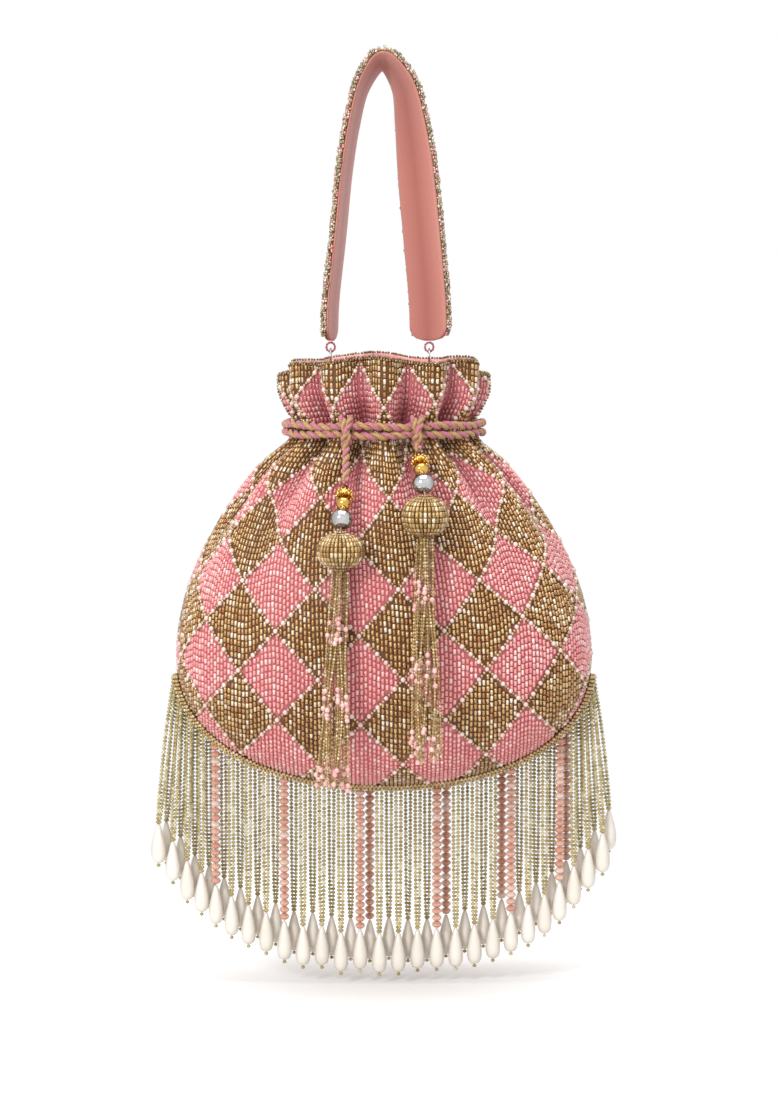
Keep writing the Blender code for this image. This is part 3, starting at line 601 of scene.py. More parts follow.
    def diagonals(self, column: Array, row: Array) -> tuple[Array, Array]:
        """The two diagonal coordinates, which are whole numbers on the lattice's lines."""
        return (column + row + 1) / 2, (column - row + 1) / 2

    def gold(self, column: Array, row: Array) -> Array:
        """Whether each point lies in a gold lozenge."""
        rising, falling = self.diagonals(column, row)
        return (np.floor(rising) - np.floor(falling)) % 2 == 1

    def line_distance(self, column: Array, row: Array) -> Array:
        """How far each point lies from the nearest line of the lattice."""
        scale = 2 / math.hypot(1 / self.half_width, 1 / self.half_height)
        return scale * np.minimum(*[np.abs(d - np.round(d)) for d in self.diagonals(column, row)])

    def on_lines(self, shares: Array, inset: float, side: Side) -> Array:
        """Points along every line of the lattice.

        Args:
            shares: Where they lie between one crossing and the next, from 0 to 1.
            inset: How far inside the panel's skin they lie.
            side: Which panel they are on.

        Returns:
            The points that lie on the panel.
        """
        form = self.form
        whole = np.arange(-7, 8)
        part = (whole[:, None] + shares).ravel()
        fixed, moving = [v.ravel() for v in np.meshgrid(whole, part)]
        rising, falling = np.append(fixed, moving), np.append(moving, fixed)
        column, row = rising + falling - 1, rising - falling
        z = self.row_zero - self.half_height * row
        for _ in range(5):
            x = self.point(column, z, inset, side)[:, 0]
            z = self.row_zero + self.rise[0] * x + self.rise[1] * x**2 - self.half_height * row
        first, last = self.ends()
        x = self.point(column, np.full_like(z, form.belly_z), inset, side)[:, 0]
        seam = form.seam_z(x, inset) + self.end_gaps[1]
        kept = ((column > first + self.side_gap) & (column < last - self.side_gap)
                & (z < form.rim_z - self.end_gaps[0]) & ((z >= form.belly_z) | (z > seam)))
        return self.point(column[kept], z[kept], inset, side)


# The panels


@dataclass(frozen=True)
class Panels:
    """The two beaded panels, their cloth, the pearls along their lattice and their edging.

    Attributes:
        form: The bag's shape.
        lattice: The lattice of both panels.
        column_step: From one column of beads to the next, in lattice columns.
        bead_pitch: From one bead to the next down a column.
        bead_radius: The radius of a bugle bead.
        least_pitch: Where columns are closer than this, every other one stops.
        bead_inset: How far inside the skin the beads' centres lie.
        bead_margins: How far from the two side seams the columns start and stop.
        bead_foot: How far round the turn to the bottom seam the columns go.
        bead_lengths: Least and greatest length of a bead, as shares of the pitch.
        bead_widths: The same for its radius.
        bead_fill: A bead's greatest radius, as a share of the gap between columns.
        bead_tilt: How much a bead leans.
        bead_stray: How far it strays from its place.
        clear: How wide a band along the lattice's lines is free of bugle beads.
        line_pearls: Pearls from one crossing of the lines to the next.
        pearl_radius: The radius of the pearls on the lines.
        pearl_inset: How far inside the skin their centres lie.
        seed_radius: The radius of the seed beads between the pearls.
        seed_inset: How far inside the skin their centres lie.
        seed_apart: Half the distance between two seeds, as a share of an edge.
        edging_rows: Inset and rise of each row of beads along the rim.
        edging_pitch: From one bead of the edging to the next.
        edging_bead: Length and radius of a bead of the edging.
        edging_stray: How far it strays from its place.
        cloth: Insets of the outer and the inner face of the cloth.
        cloth_margin: How far from the side seams the cloth stops, in columns.
        cloth_columns: Columns of points in the cloth.
        lining: Insets of the lining's two faces from the inside of the wall.
        cut: Width and length of the rectangle that a panel is cut from, in metres. Not used.
        cut_area: A panel's own area, less the corners cut away, in square metres. Not used.
        lining_cut: The same for the lining. Not used.
        lining_area: The lining's own area. Not used.
    """

    form: BagForm = BagForm()
    lattice: Lattice = Lattice()
    column_step: float = 0.1
    bead_pitch: float = 3.1
    bead_radius: float = 0.93
    least_pitch: float = 1.4
    bead_inset: float = 0.95
    bead_margins: tuple[float, float] = (0.08, 0.05)
    bead_foot: float = 0.955
    bead_lengths: tuple[float, float] = (0.86, 0.97)
    bead_widths: tuple[float, float] = (0.9, 1.0)
    bead_fill: float = 0.44
    bead_tilt: float = 0.035
    bead_stray: float = 0.06
    clear: float = 1.25
    line_pearls: int = 5
    pearl_radius: float = 1.5
    pearl_inset: float = 0.75
    seed_radius: float = 0.85
    seed_inset: float = 0.7
    seed_apart: float = 0.03
    edging_rows: tuple[tuple[float, float], ...] = ((0.2, -0.5), (0.9, 0.5))
    edging_pitch: float = 1.5
    edging_bead: tuple[float, float] = (1.4, 0.66)
    edging_stray: float = 0.12
    cloth: tuple[float, float] = (1.15, 1.6)
    cloth_margin: float = 0.03
    cloth_columns: int = 157
    lining: tuple[float, float] = (0.3, 1.0)
    cut: tuple[float, float] = (0.26, 0.25)
    cut_area: float = 0.05
    lining_cut: tuple[float, float] = (0.52, 0.2)
    lining_area: float = 0.075

    def cloth_piece(self, side: Side) -> Piece:
        """The cloth of a panel: an outer and an inner grid of columns and heights.

        Args:
            side: Which panel.

        Returns:
            The cloth, its tint 1 in gold lozenges and 0 in pink ones.
        """
        first, last = self.lattice.ends()
        columns = np.linspace(first + self.cloth_margin, last - self.cloth_margin, self.cloth_columns)
        z = self.lattice.lines(columns, self.cloth[1])
        outer, inner = [self.lattice.point(columns[:, None], z, inset, side).transpose(1, 0, 2)
                        for inset in self.cloth]
        gold = self.lattice.gold(columns[:, None], self.lattice.row(inner.T[0], z)).T
        if side is Side.BACK:
            outer, inner, gold = outer[:, ::-1], inner[:, ::-1], gold[:, ::-1]
        soup = Soup()
        grid_skin(soup, outer, inner, tone=(0.0, 1.0), tint=gold.astype(float))
        return soup.build(f"{side.name.lower()}_cloth")

    def bead_pieces(self, side: Side, rng: Rng) -> list[Piece]:
        """The bugle beads of a panel, one piece for each tone, in columns from rim to seam.

        Args:
            side: Which panel.
            rng: The random draws.

        Returns:
            The pink beads and the gold ones.
        """
        first, last = self.lattice.ends()
        start, stop = first + self.bead_margins[0], last - self.bead_margins[1]
        columns = np.arange(start, stop, self.column_step)
        z = self.lattice.lines(columns, self.bead_inset, foot=self.bead_foot)
        paths = self.lattice.point(columns[:, None], z, self.bead_inset, side)
        spacing = np.linalg.norm(np.gradient(paths, axis=0), axis=-1)
        found = []
        for number, (column, path, heights, gaps) in enumerate(zip(columns, paths, z, spacing)):
            length = length_of(path)
            places = np.arange(0.5 + 0.35 * rng.random(), length / self.bead_pitch - 0.4)
            shift = rng.uniform(-self.bead_stray, self.bead_stray, len(places))
            places = (places + shift) * self.bead_pitch / length
            centres, ways = spaced_line(path, places)
            travel = np.concatenate([[0], np.cumsum(np.linalg.norm(np.diff(path, axis=0), axis=1))])
            height, gap = [np.interp(places * length, travel, v) for v in (heights, gaps)]
            crowded = gap < self.least_pitch
            kept = ~crowded | (number % 2 == 0)
            radius = np.minimum(self.bead_radius, self.bead_fill * gap * np.where(crowded, 2, 1))
            row = self.lattice.row(centres[:, 0], height)
            kept &= self.lattice.line_distance(np.full_like(row, column), row) > self.clear
            gold = self.lattice.gold(np.full_like(row, column), row)
            # How far this bead is darkened by painted shade in the folds' valleys.
            painted_valley_shade = self.lattice.painted_valley_shade(np.full_like(row, column), height)
            found.append(np.column_stack([centres, ways, radius, gold, painted_valley_shade])[kept])
        beads = np.concatenate(found)
        pieces = []
        for tone in Tone:
            mine = beads[beads[:, 7] == tone.value]
            soup = Soup()
            count = len(mine)
            lengths = self.bead_pitch * rng.uniform(*self.bead_lengths, count)
            tilt = unit(mine[:, 3:6]) + rng.normal(0, self.bead_tilt, (count, 3))
            centres = mine[:, :3] + rng.normal(0, self.bead_stray, (count, 3))
            radii = mine[:, 6] * rng.uniform(*self.bead_widths, count)
            # Each bead's tone is its painted valley shade, which turns it toward the darker Other colour.
            set_beads(soup, BEAD, centres, tilt, lengths, radii, rng.random(count), mine[:, 8])
            pieces.append(soup.build(f"{side.name.lower()}_{tone.name.lower()}_beads"))
        return pieces

    def outline_pieces(self, side: Side, rng: Rng) -> list[Piece]:
        """The pearls along the lattice's lines, one at each crossing and four to an edge, and
        two seeds in each gap.

        Args:
            side: Which panel.
            rng: The random draws.

        Returns:
            The pearls and the seeds.
        """
        steps = np.arange(self.line_pearls)
        pearls = self.lattice.on_lines(steps / self.line_pearls, self.pearl_inset, side)
        _, first = np.unique(np.round(pearls, 2), axis=0, return_index=True)
        pearls = pearls[np.sort(first)]
        gaps = (steps[:, None] + 0.5) / self.line_pearls + np.array([-self.seed_apart, self.seed_apart])
        seeds = self.lattice.on_lines(gaps.ravel(), self.seed_inset, side)
        soup = Soup()
        set_beads(soup, PEARL, pearls, np.array([[0, side.value, 0.2]]), 2 * self.pearl_radius,
                  self.pearl_radius * rng.uniform(0.88, 1.0, len(pearls)), rng.random(len(pearls)))
        outline = soup.build(f"{side.name.lower()}_outline_pearls")
        soup = Soup()
        set_beads(soup, ROUND_BEAD, seeds, np.array([[0.3, side.value, 0.2]]), 2 * self.seed_radius,
                  self.seed_radius, rng.random(len(seeds)))
        return [outline, soup.build(f"{side.name.lower()}_outline_seeds")]

    def edging_piece(self, side: Side, rng: Rng) -> Piece:
        """Small dark beads in two rows along the rim, and down the side slits to the neck.

        Args:
            side: Which panel.
            rng: The random draws.

        Returns:
            The edging.
        """
        first, last = self.lattice.ends()
        columns = np.linspace(first + 0.04, last - 0.04, 400)
        rim_z = np.full_like(columns, self.form.rim_z)
        paths = [self.lattice.point(columns, rim_z, inset, side) + [0, 0, rise]
                 for inset, rise in self.edging_rows]
        slit = np.linspace(self.form.rim_z - 1, self.form.neck_z + 6, 60)
        paths += [self.lattice.point(np.full_like(slit, column), slit, self.edging_rows[0][0], side)
                  for column in (first + 0.05, last - 0.05)]
        soup = Soup()
        for path in paths:
            centres, ways, count = bead_places(path, self.edging_pitch)
            centres = centres + rng.normal(0, self.edging_stray, (count, 3))
            set_beads(soup, ROUND_BEAD, centres, ways, *self.edging_bead, rng.random(count))
        return soup.build(f"{side.name.lower()}_rim_edging")

    def lining_piece(self) -> Piece:
        """The satin lining: ellipses inside the panels, clear of their folds, that close at the
        bottom along the superellipse.

        Returns:
            The lining.
        """
        form = self.form
        high = np.linspace(form.neck_z + form.lift_from * form.ruffle, form.belly_z, 40)
        width, depth, fold = form.section(high)
        turn = np.pi / 2 * np.linspace(0, 0.99, 22)[1:]
        left, gone = np.cos(turn) ** (2 / form.power), np.sin(turn) ** (2 / form.power)
        angle = np.linspace(0, 2 * np.pi, 96, endpoint=False)
        sheets = []
        for inset in [form.wall + out for out in self.lining]:
            wide = np.append(width - 2 * fold - inset, (form.belly[0] - inset) * left)
            deep = np.append(depth - 2 * fold - inset, (form.belly[1] - inset) * left)
            z = np.append(high, form.belly_z - (form.bottom - inset) * gone)
            sheets.append(np.stack([wide[:, None] * np.sin(angle),
                                    form.set_back - deep[:, None] * np.cos(angle),
                                    np.repeat(z[:, None], len(angle), axis=1)], axis=-1))
        soup = Soup()
        grid_skin(soup, sheets[0], sheets[1], wrap=True, tone=(1.0, 1.0))
        return soup.build("satin_lining")


@dataclass(frozen=True)
class Rope:
    """A rope of two plies, one of each tone, that wind round its centreline.

    Attributes:
        radius: The rope's radius.
        lay: How far along the rope a ply goes in one turn.
        step: From one ring of a ply to the next.
        ply: A ply's radius, as a share of the rope's.
    """

    radius: float = 2.0
    lay: float = 10.0
    step: float = 0.75
    ply: float = 0.56

    def add(self, soup: Soup, path: Array, closed: bool = False, phase: float = 0.0) -> None:
        """Adds the rope: each ply's centre is the path plus half the rope's radius in a
        direction that turns once in each lay.

        Args:
            soup: Where the rope goes.
            path: The points of its centreline.
            closed: Whether the path is a loop.
            phase: Where the plies start, in radians.
        """
        whole = np.concatenate([path, path[:1]]) if closed else path
        length = length_of(whole)
        count = max(8, int(length / self.step))
        shares = np.arange(count) / count if closed else np.linspace(0, 1, count)
        centres, ways = spaced_line(whole, shares)
        guide = np.array([0.0, 0.0, 1.0]) if closed else np.array([0.0, 1.0, 0.0])
        first = unit(np.cross(guide, ways))
        second = np.cross(ways, first)
        turns = max(1, round(length / self.lay)) if closed else length / self.lay
        for tone in Tone:
            angle = (2 * np.pi * turns * shares + phase + math.pi * tone.value)[:, None]
            line = centres + self.radius / 2 * (np.cos(angle) * first + np.sin(angle) * second)
            tube_skin(soup, line, self.radius * self.ply, 9, closed=closed, tint=shares,
                      tone=float(tone.value))


# The cords, the handle and the tassels


def smooth_path(points: Sequence[Sequence[float]], count: int) -> Array:
    """A cubic curve through the points, each piece's slopes taken from its neighbours.

    Args:
        points: The points to pass through.
        count: How many points to read, at evenly spaced parameters.

    Returns:
        The curve's points.
    """
    given = np.array(points, float)
    ends = np.concatenate([2 * given[:1] - given[1:2], given, 2 * given[-1:] - given[-2:-1]])
    at = np.linspace(0, len(given) - 1, count)
    index = np.minimum(at.astype(int), len(given) - 2)
    t = (at - index)[:, None]
    p0, p1, p2, p3 = [ends[index + i] for i in range(4)]
    return 0.5 * (2 * p1 + (p2 - p0) * t + (2 * p0 - 5 * p1 + 4 * p2 - p3) * t**2
                  + (3 * p1 - p0 - 3 * p2 + p3) * t**3)


@dataclass(frozen=True)
class Drawstrings:
    """Two ropes round the neck, and the two short ropes that come over them to the tassels.

    Attributes:
        form: The bag's shape.
        rope: The rope round the neck.
        apart: Half the distance between the two ropes.
        seat: From the crests of the folds to the rope.
        wave: How far the rope waves up and down.
        over: The rope of the knots.
        lean: How far a knot's two ropes lean to each side.
        bow: How far the neck's side lies behind its front, for the knots.
        route: A knot's route: share of the lean, and y and z from the neck's front.
    """

    form: BagForm = BagForm()
    rope: Rope = Rope()
    apart: float = 2.15
    seat: float = 0.7
    wave: float = 0.45
    over: Rope = Rope(radius=1.7, lay=8.0)
    lean: float = 2.4
    bow: float = 18.0
    route: tuple[tuple[float, float, float], ...] = (
        (-1.0, 1.5, 6.2), (-0.8, -2.2, 6.0), (-0.3, -4.6, 1.5),
        (0.3, -4.8, -2.5), (0.5, -2.6, -5.6), (0.4, 0.6, -6.2))

    def loop(self, z: float) -> Array:
        """The centreline of a rope round the neck: an ellipse that waves seven times.

        Args:
            z: Its height.

        Returns:
            The points of the closed line.
        """
        turn = np.linspace(0, 2 * np.pi, 241)[:-1]
        wide, deep = [size + self.rope.radius + self.seat for size in self.form.neck]
        wave = self.wave * np.sin(7 * turn + z)
        y = self.form.set_back - deep * np.cos(turn)
        return np.stack([wide * np.sin(turn), y, z + wave], axis=1)

    def pieces(self, knots: Sequence[float]) -> list[Piece]:
        """The two ropes, and a short rope over both of them at each knot.

        Args:
            knots: X of each knot.

        Returns:
            The upper rope, the lower rope and the knots.
        """
        made = []
        for name, z, phase in (("upper", self.apart, 0.0), ("lower", -self.apart, 1.4)):
            soup = Soup()
            self.rope.add(soup, self.loop(self.form.neck_z + z), closed=True, phase=phase)
            made.append(soup.build(f"{name}_rope"))
        soup = Soup()
        for x in knots:
            front = self.form.set_back - self.form.neck[1] - self.rope.radius - self.seat
            front += self.bow * (x / self.form.neck[0]) ** 2
            for lean in (-self.lean, self.lean):
                path = [(x + share * lean, front + y, self.form.neck_z + z) for share, y, z in self.route]
                self.over.add(soup, smooth_path(path, 40), phase=lean)
        made.append(soup.build("rope_knots"))
        return made


@dataclass(frozen=True)
class Strap:
    """The strap handle: a band that rises from the left ring, turns over the grip and comes
    down to the right ring, twisting as it goes; beads outside, plain cloth inside.

    Attributes:
        drop: From the grip down to the strap's ends.
        width: The strap's width.
        end_width: Its width at the tips.
        taper: How far from a tip it reaches its full width.
        left_x: X of its left end.
        right_x: X of its right end.
        twist: Its turn about its own line at the left and at the right, in degrees.
        cloth: Depth of the plain cloth.
        gap: Between the cloth and the beadwork.
        base: Depth of the cloth that carries the beads.
        rows: Rows of beads from one end to the other.
        row_pitch: From one row to the next.
        lozenge: Half the length of a lozenge.
        line_share: How wide the silver lines are, as a share of a lozenge.
        bead_share: A bead's radius, as a share of the strap's half width.
        bead_out: How far the beads' centres lie outside their cloth.
        edge_rows: Depth and overhang of each row of beads along an edge.
        edge_bead: Length and radius of an edge bead.
        edge_kept: Share of the edge beads that are there.
        edge_pink: Share of them that are pink.
        edge_stray: How far they stray.
    """

    drop: float = 137.5
    width: float = 24.0
    end_width: float = 5.0
    taper: float = 7.0
    left_x: float = -26.5
    right_x: float = 22.5
    twist: tuple[float, float] = (-12.0, -48.0)
    cloth: float = 1.3
    gap: float = 0.3
    base: float = 0.8
    rows: int = 112
    row_pitch: float = 2.55
    lozenge: float = 13.0
    line_share: float = 0.075
    bead_share: float = 0.07755
    bead_out: float = 0.35
    edge_rows: tuple[tuple[float, float], ...] = ((-0.4, 0.3), (-1.2, 0.95), (-1.9, 0.3))
    edge_bead: tuple[float, float] = (1.6, 0.76)
    edge_kept: float = 0.8
    edge_pink: float = 0.16
    edge_stray: float = 0.2

    def frames(self, count: int = 260) -> tuple[Array, Array, Array, Array]:
        """Follows the strap's arch, and turns its width about it by a smooth step.

        Args:
            count: How many stations to read.

        Returns:
            The centreline, the direction of the width, the direction into the arch and the
            half width at each station.
        """
        low, left, right = -self.drop, self.left_x, self.right_x
        route = [(left, low), (left + 0.8, 0.85 * low), (left + 4.3, 0.62 * low),
                 (left + 7.3, 0.4 * low), (-15.3, 0.22 * low),
                 (-10.2, 0.08 * low), (-0.5, 1.3), (9.6, 0.08 * low),
                 (13.4, 0.22 * low), (16.2, 0.4 * low), (right - 3.4, 0.62 * low),
                 (right - 0.6, 0.85 * low), (right, low)]
        path = smooth_path([(x, 0.0, z) for x, z in route], 401)
        share = np.linspace(0, 1, count)
        centres, ways = spaced_line(path, share)
        turn = np.clip((share - 0.4) / 0.36, 0, 1)
        turn = turn**2 * (3 - 2 * turn)
        angle = np.radians(self.twist[0] + (self.twist[1] - self.twist[0]) * turn)[:, None]
        plain = np.array([[0.0, -1.0, 0.0]])
        normal = np.cross(ways, plain)
        across = np.cos(angle) * plain + np.sin(angle) * normal
        inward = np.cos(angle) * normal - np.sin(angle) * plain
        near = np.minimum(share, 1 - share) * length_of(path) / self.taper
        full = np.sqrt(1 - (1 - np.clip(near, 0, 1)) ** 2)
        half = (self.end_width + (self.width - self.end_width) * full) / 2
        return centres, across, inward, half

    def sheet(self, low: float, high: float, name: str, across_count: int = 17) -> Piece:
        """A band of the strap between two offsets along the inward direction.

        Args:
            low: The outer offset.
            high: The inner offset.
            name: The piece's name.
            across_count: How many points lie across the band.

        Returns:
            The band.
        """
        centres, across, inward, half = self.frames()
        place = np.linspace(-1, 1, across_count)[:, None]
        soften = 1 - 0.35 * np.abs(place) ** 8
        middle, depth = (low + high) / 2, (high - low) / 2
        spread = centres[:, None] + half[:, None, None] * place * across[:, None]
        faces = [spread + (middle + way * depth * soften) * inward[:, None] for way in (1, -1)]
        soup = Soup()
        grid_skin(soup, faces[0][::-1], faces[1][::-1], tint=np.tile(np.abs(place.T), (len(centres), 1)))
        return soup.build(name)

    def bead_pieces(self, rng: Rng) -> list[Piece]:
        """The beads of the outer face: lozenges of pink and gold with silver lines between
        them, in rows across the strap, and a rough beaded edge along both sides.

        Args:
            rng: The random draws.

        Returns:
            The pink, the gold, the silver and the edge beads.
        """
        centres, across, inward, half = self.frames(self.rows)
        out = -(self.gap + self.base + self.bead_out)
        place = np.linspace(-0.9, 0.9, 12)
        points = (centres[:, None] + half[:, None, None] * place[:, None] * across[:, None]
                  + out * inward[:, None])
        ways = np.gradient(points, axis=0)
        row = np.arange(self.rows)[:, None] * self.row_pitch / self.lozenge
        rising, falling = (row + place) / 2 + 0.5, (row - place) / 2 + 0.5
        edge = np.minimum(np.abs(rising - np.round(rising)), np.abs(falling - np.round(falling)))
        silver = edge < self.line_share
        gold = (np.floor(rising) + np.floor(falling)) % 2 == 0
        radius = np.broadcast_to(self.bead_share * half[:, None], gold.shape)
        made = []
        for name, kept in (("pink", ~gold & ~silver), ("gold", gold & ~silver), ("silver", silver)):
            soup = Soup()
            kept = kept.copy()
            kept[:2], kept[-2:] = False, False
            number = int(kept.sum())
            set_beads(soup, BEAD if name != "silver" else ROUND_BEAD,
                      points[kept] + rng.normal(0, 0.1, (number, 3)),
                      unit(ways[kept]) + rng.normal(0, 0.06, (number, 3)),
                      2.4 if name != "silver" else 2.0,
                      np.clip(radius[kept] * (1.15 if name == "silver" else 1.0), 0.3, 1.0),
                      rng.random(number))
            made.append(soup.build(f"strap_{name}_beads"))
        soup = Soup()
        fine_centres, fine_across, fine_inward, fine_half = self.frames(290)
        for way in (-1, 1):
            for offset, push in self.edge_rows:
                line = (fine_centres + way * (fine_half + push)[:, None] * fine_across
                        + offset * fine_inward)[3:-3]
                line = line + rng.normal(0, self.edge_stray, line.shape)
                keep = rng.random(len(line)) < self.edge_kept
                number = int(keep.sum())
                set_beads(soup, ROUND_BEAD, line[keep], rng.normal(0, 1, (number, 3)), *self.edge_bead,
                          rng.random(number), (rng.random(number) < self.edge_pink).astype(float))
        made.append(soup.build("strap_edge_beads"))
        return made


@dataclass(frozen=True)
class RingJoint:
    """A silver ring that hangs in a pink cord loop under one end of the strap, and the
    satin tab that ties the ring to the lining.

    Attributes:
        form: The bag's shape.
        hinge_z: Height of the ring's hinge.
        ring_radius: The ring's radius, to the middle of its wire.
        wire: The wire's radius.
        ring_drop: From the hinge down to the ring's middle.
        loop_half: Half the width of the cord loop.
        loop_cord: The cord's radius.
        loop_reach: From the hinge up to the strap.
        tab: The tab's length, width and depth.
    """

    form: BagForm = BagForm()
    hinge_z: float = -142.9
    ring_radius: float = 3.6
    wire: float = 0.5
    ring_drop: float = 2.2
    loop_half: float = 2.1
    loop_cord: float = 0.6
    loop_reach: float = 5.4
    tab: tuple[float, float, float] = (32.0, 3.0, 0.8)

    def pieces(self, name: str, x: float) -> list[Piece]:
        """The ring and the cord loop at this x.

        Args:
            name: left or right.
            x: Where the ring hangs.

        Returns:
            The ring and the loop.
        """
        turn = np.linspace(0, 2 * np.pi, 49)[:-1]
        ring = np.stack([np.full_like(turn, x), self.ring_radius * np.sin(turn),
                         self.hinge_z - self.ring_drop + self.ring_radius * np.cos(turn)], axis=1)
        soup = Soup()
        tube_skin(soup, ring[:, [1, 2, 0]], self.wire, 12, closed=True)
        soup.points[0] = soup.points[0][:, [2, 0, 1]]
        silver = soup.build(f"{name}_silver_ring")
        half = self.loop_half
        top = self.hinge_z + self.loop_reach - 0.3 - self.loop_cord - half
        low = self.hinge_z + half
        bend = np.linspace(0, np.pi, 14)
        route = np.concatenate([
            np.stack([x - half * np.cos(bend), 0 * bend, low - half * np.sin(bend)], axis=1),
            np.stack([x + half * np.cos(bend), 0 * bend, top + half * np.sin(bend)], axis=1)])
        soup = Soup()
        turned_route = route[:, [0, 2, 1]] * [1, -1, 1]
        Rope(radius=self.loop_cord, lay=2.6, step=0.35).add(soup, turned_route, closed=True)
        soup.points = [p[:, [0, 2, 1]] * [1, 1, -1] for p in soup.points]
        return [silver, soup.build(f"{name}_cord_loop")]

    def tab_piece(self, name: str, x: float) -> Piece:
        """The satin tab: a ribbon that comes up from the lining's wall, turns over the foot of
        the ring in a half circle and comes down again. Its two faces lie half its depth to
        each side of that line.

        Args:
            name: left or right.
            x: Where the ring hangs.

        Returns:
            The tab.
        """
        side = math.copysign(1.0, x)
        foot = self.hinge_z - self.ring_drop - self.ring_radius
        bend = self.wire + self.tab[2] / 2 + 0.1
        width, depth, fold = self.form.section(np.array(foot - self.tab[0]))
        inset = 2 * fold + self.form.wall + 1.0
        near = (self.form.set_back + self.tab[1] / 2) / (depth - inset)
        seat = side * ((width - inset) * math.sqrt(1 - near**2) - 1.1)
        turn = np.linspace(0, np.pi, 13)
        over = np.stack([x + side * bend * np.cos(turn), foot + bend * np.sin(turn)], axis=1)
        below = (x + side * (bend + 2.0), foot - 7.0)
        rise = smooth_path([(seat, foot - self.tab[0]), below, over[0]], 24)
        path = np.concatenate([rise[:-1], over, [[x - side * bend, foot - 6.0]]])
        way = unit(np.gradient(path, axis=0))
        out = np.stack([-way[:, 1], way[:, 0]], axis=1) * self.tab[2] / 2
        across = np.linspace(-0.5, 0.5, 5) * self.tab[1]
        faces = []
        for line in (path + out, path - out):
            flat = np.broadcast_to(line[:, None], (len(path), len(across), 2))
            y = np.broadcast_to(across, flat.shape[:2])
            faces.append(np.stack([flat[..., 0], y, flat[..., 1]], axis=-1))
        soup = Soup()
        grid_skin(soup, faces[0], faces[1])
        return soup.build(f"{name}_satin_tab")


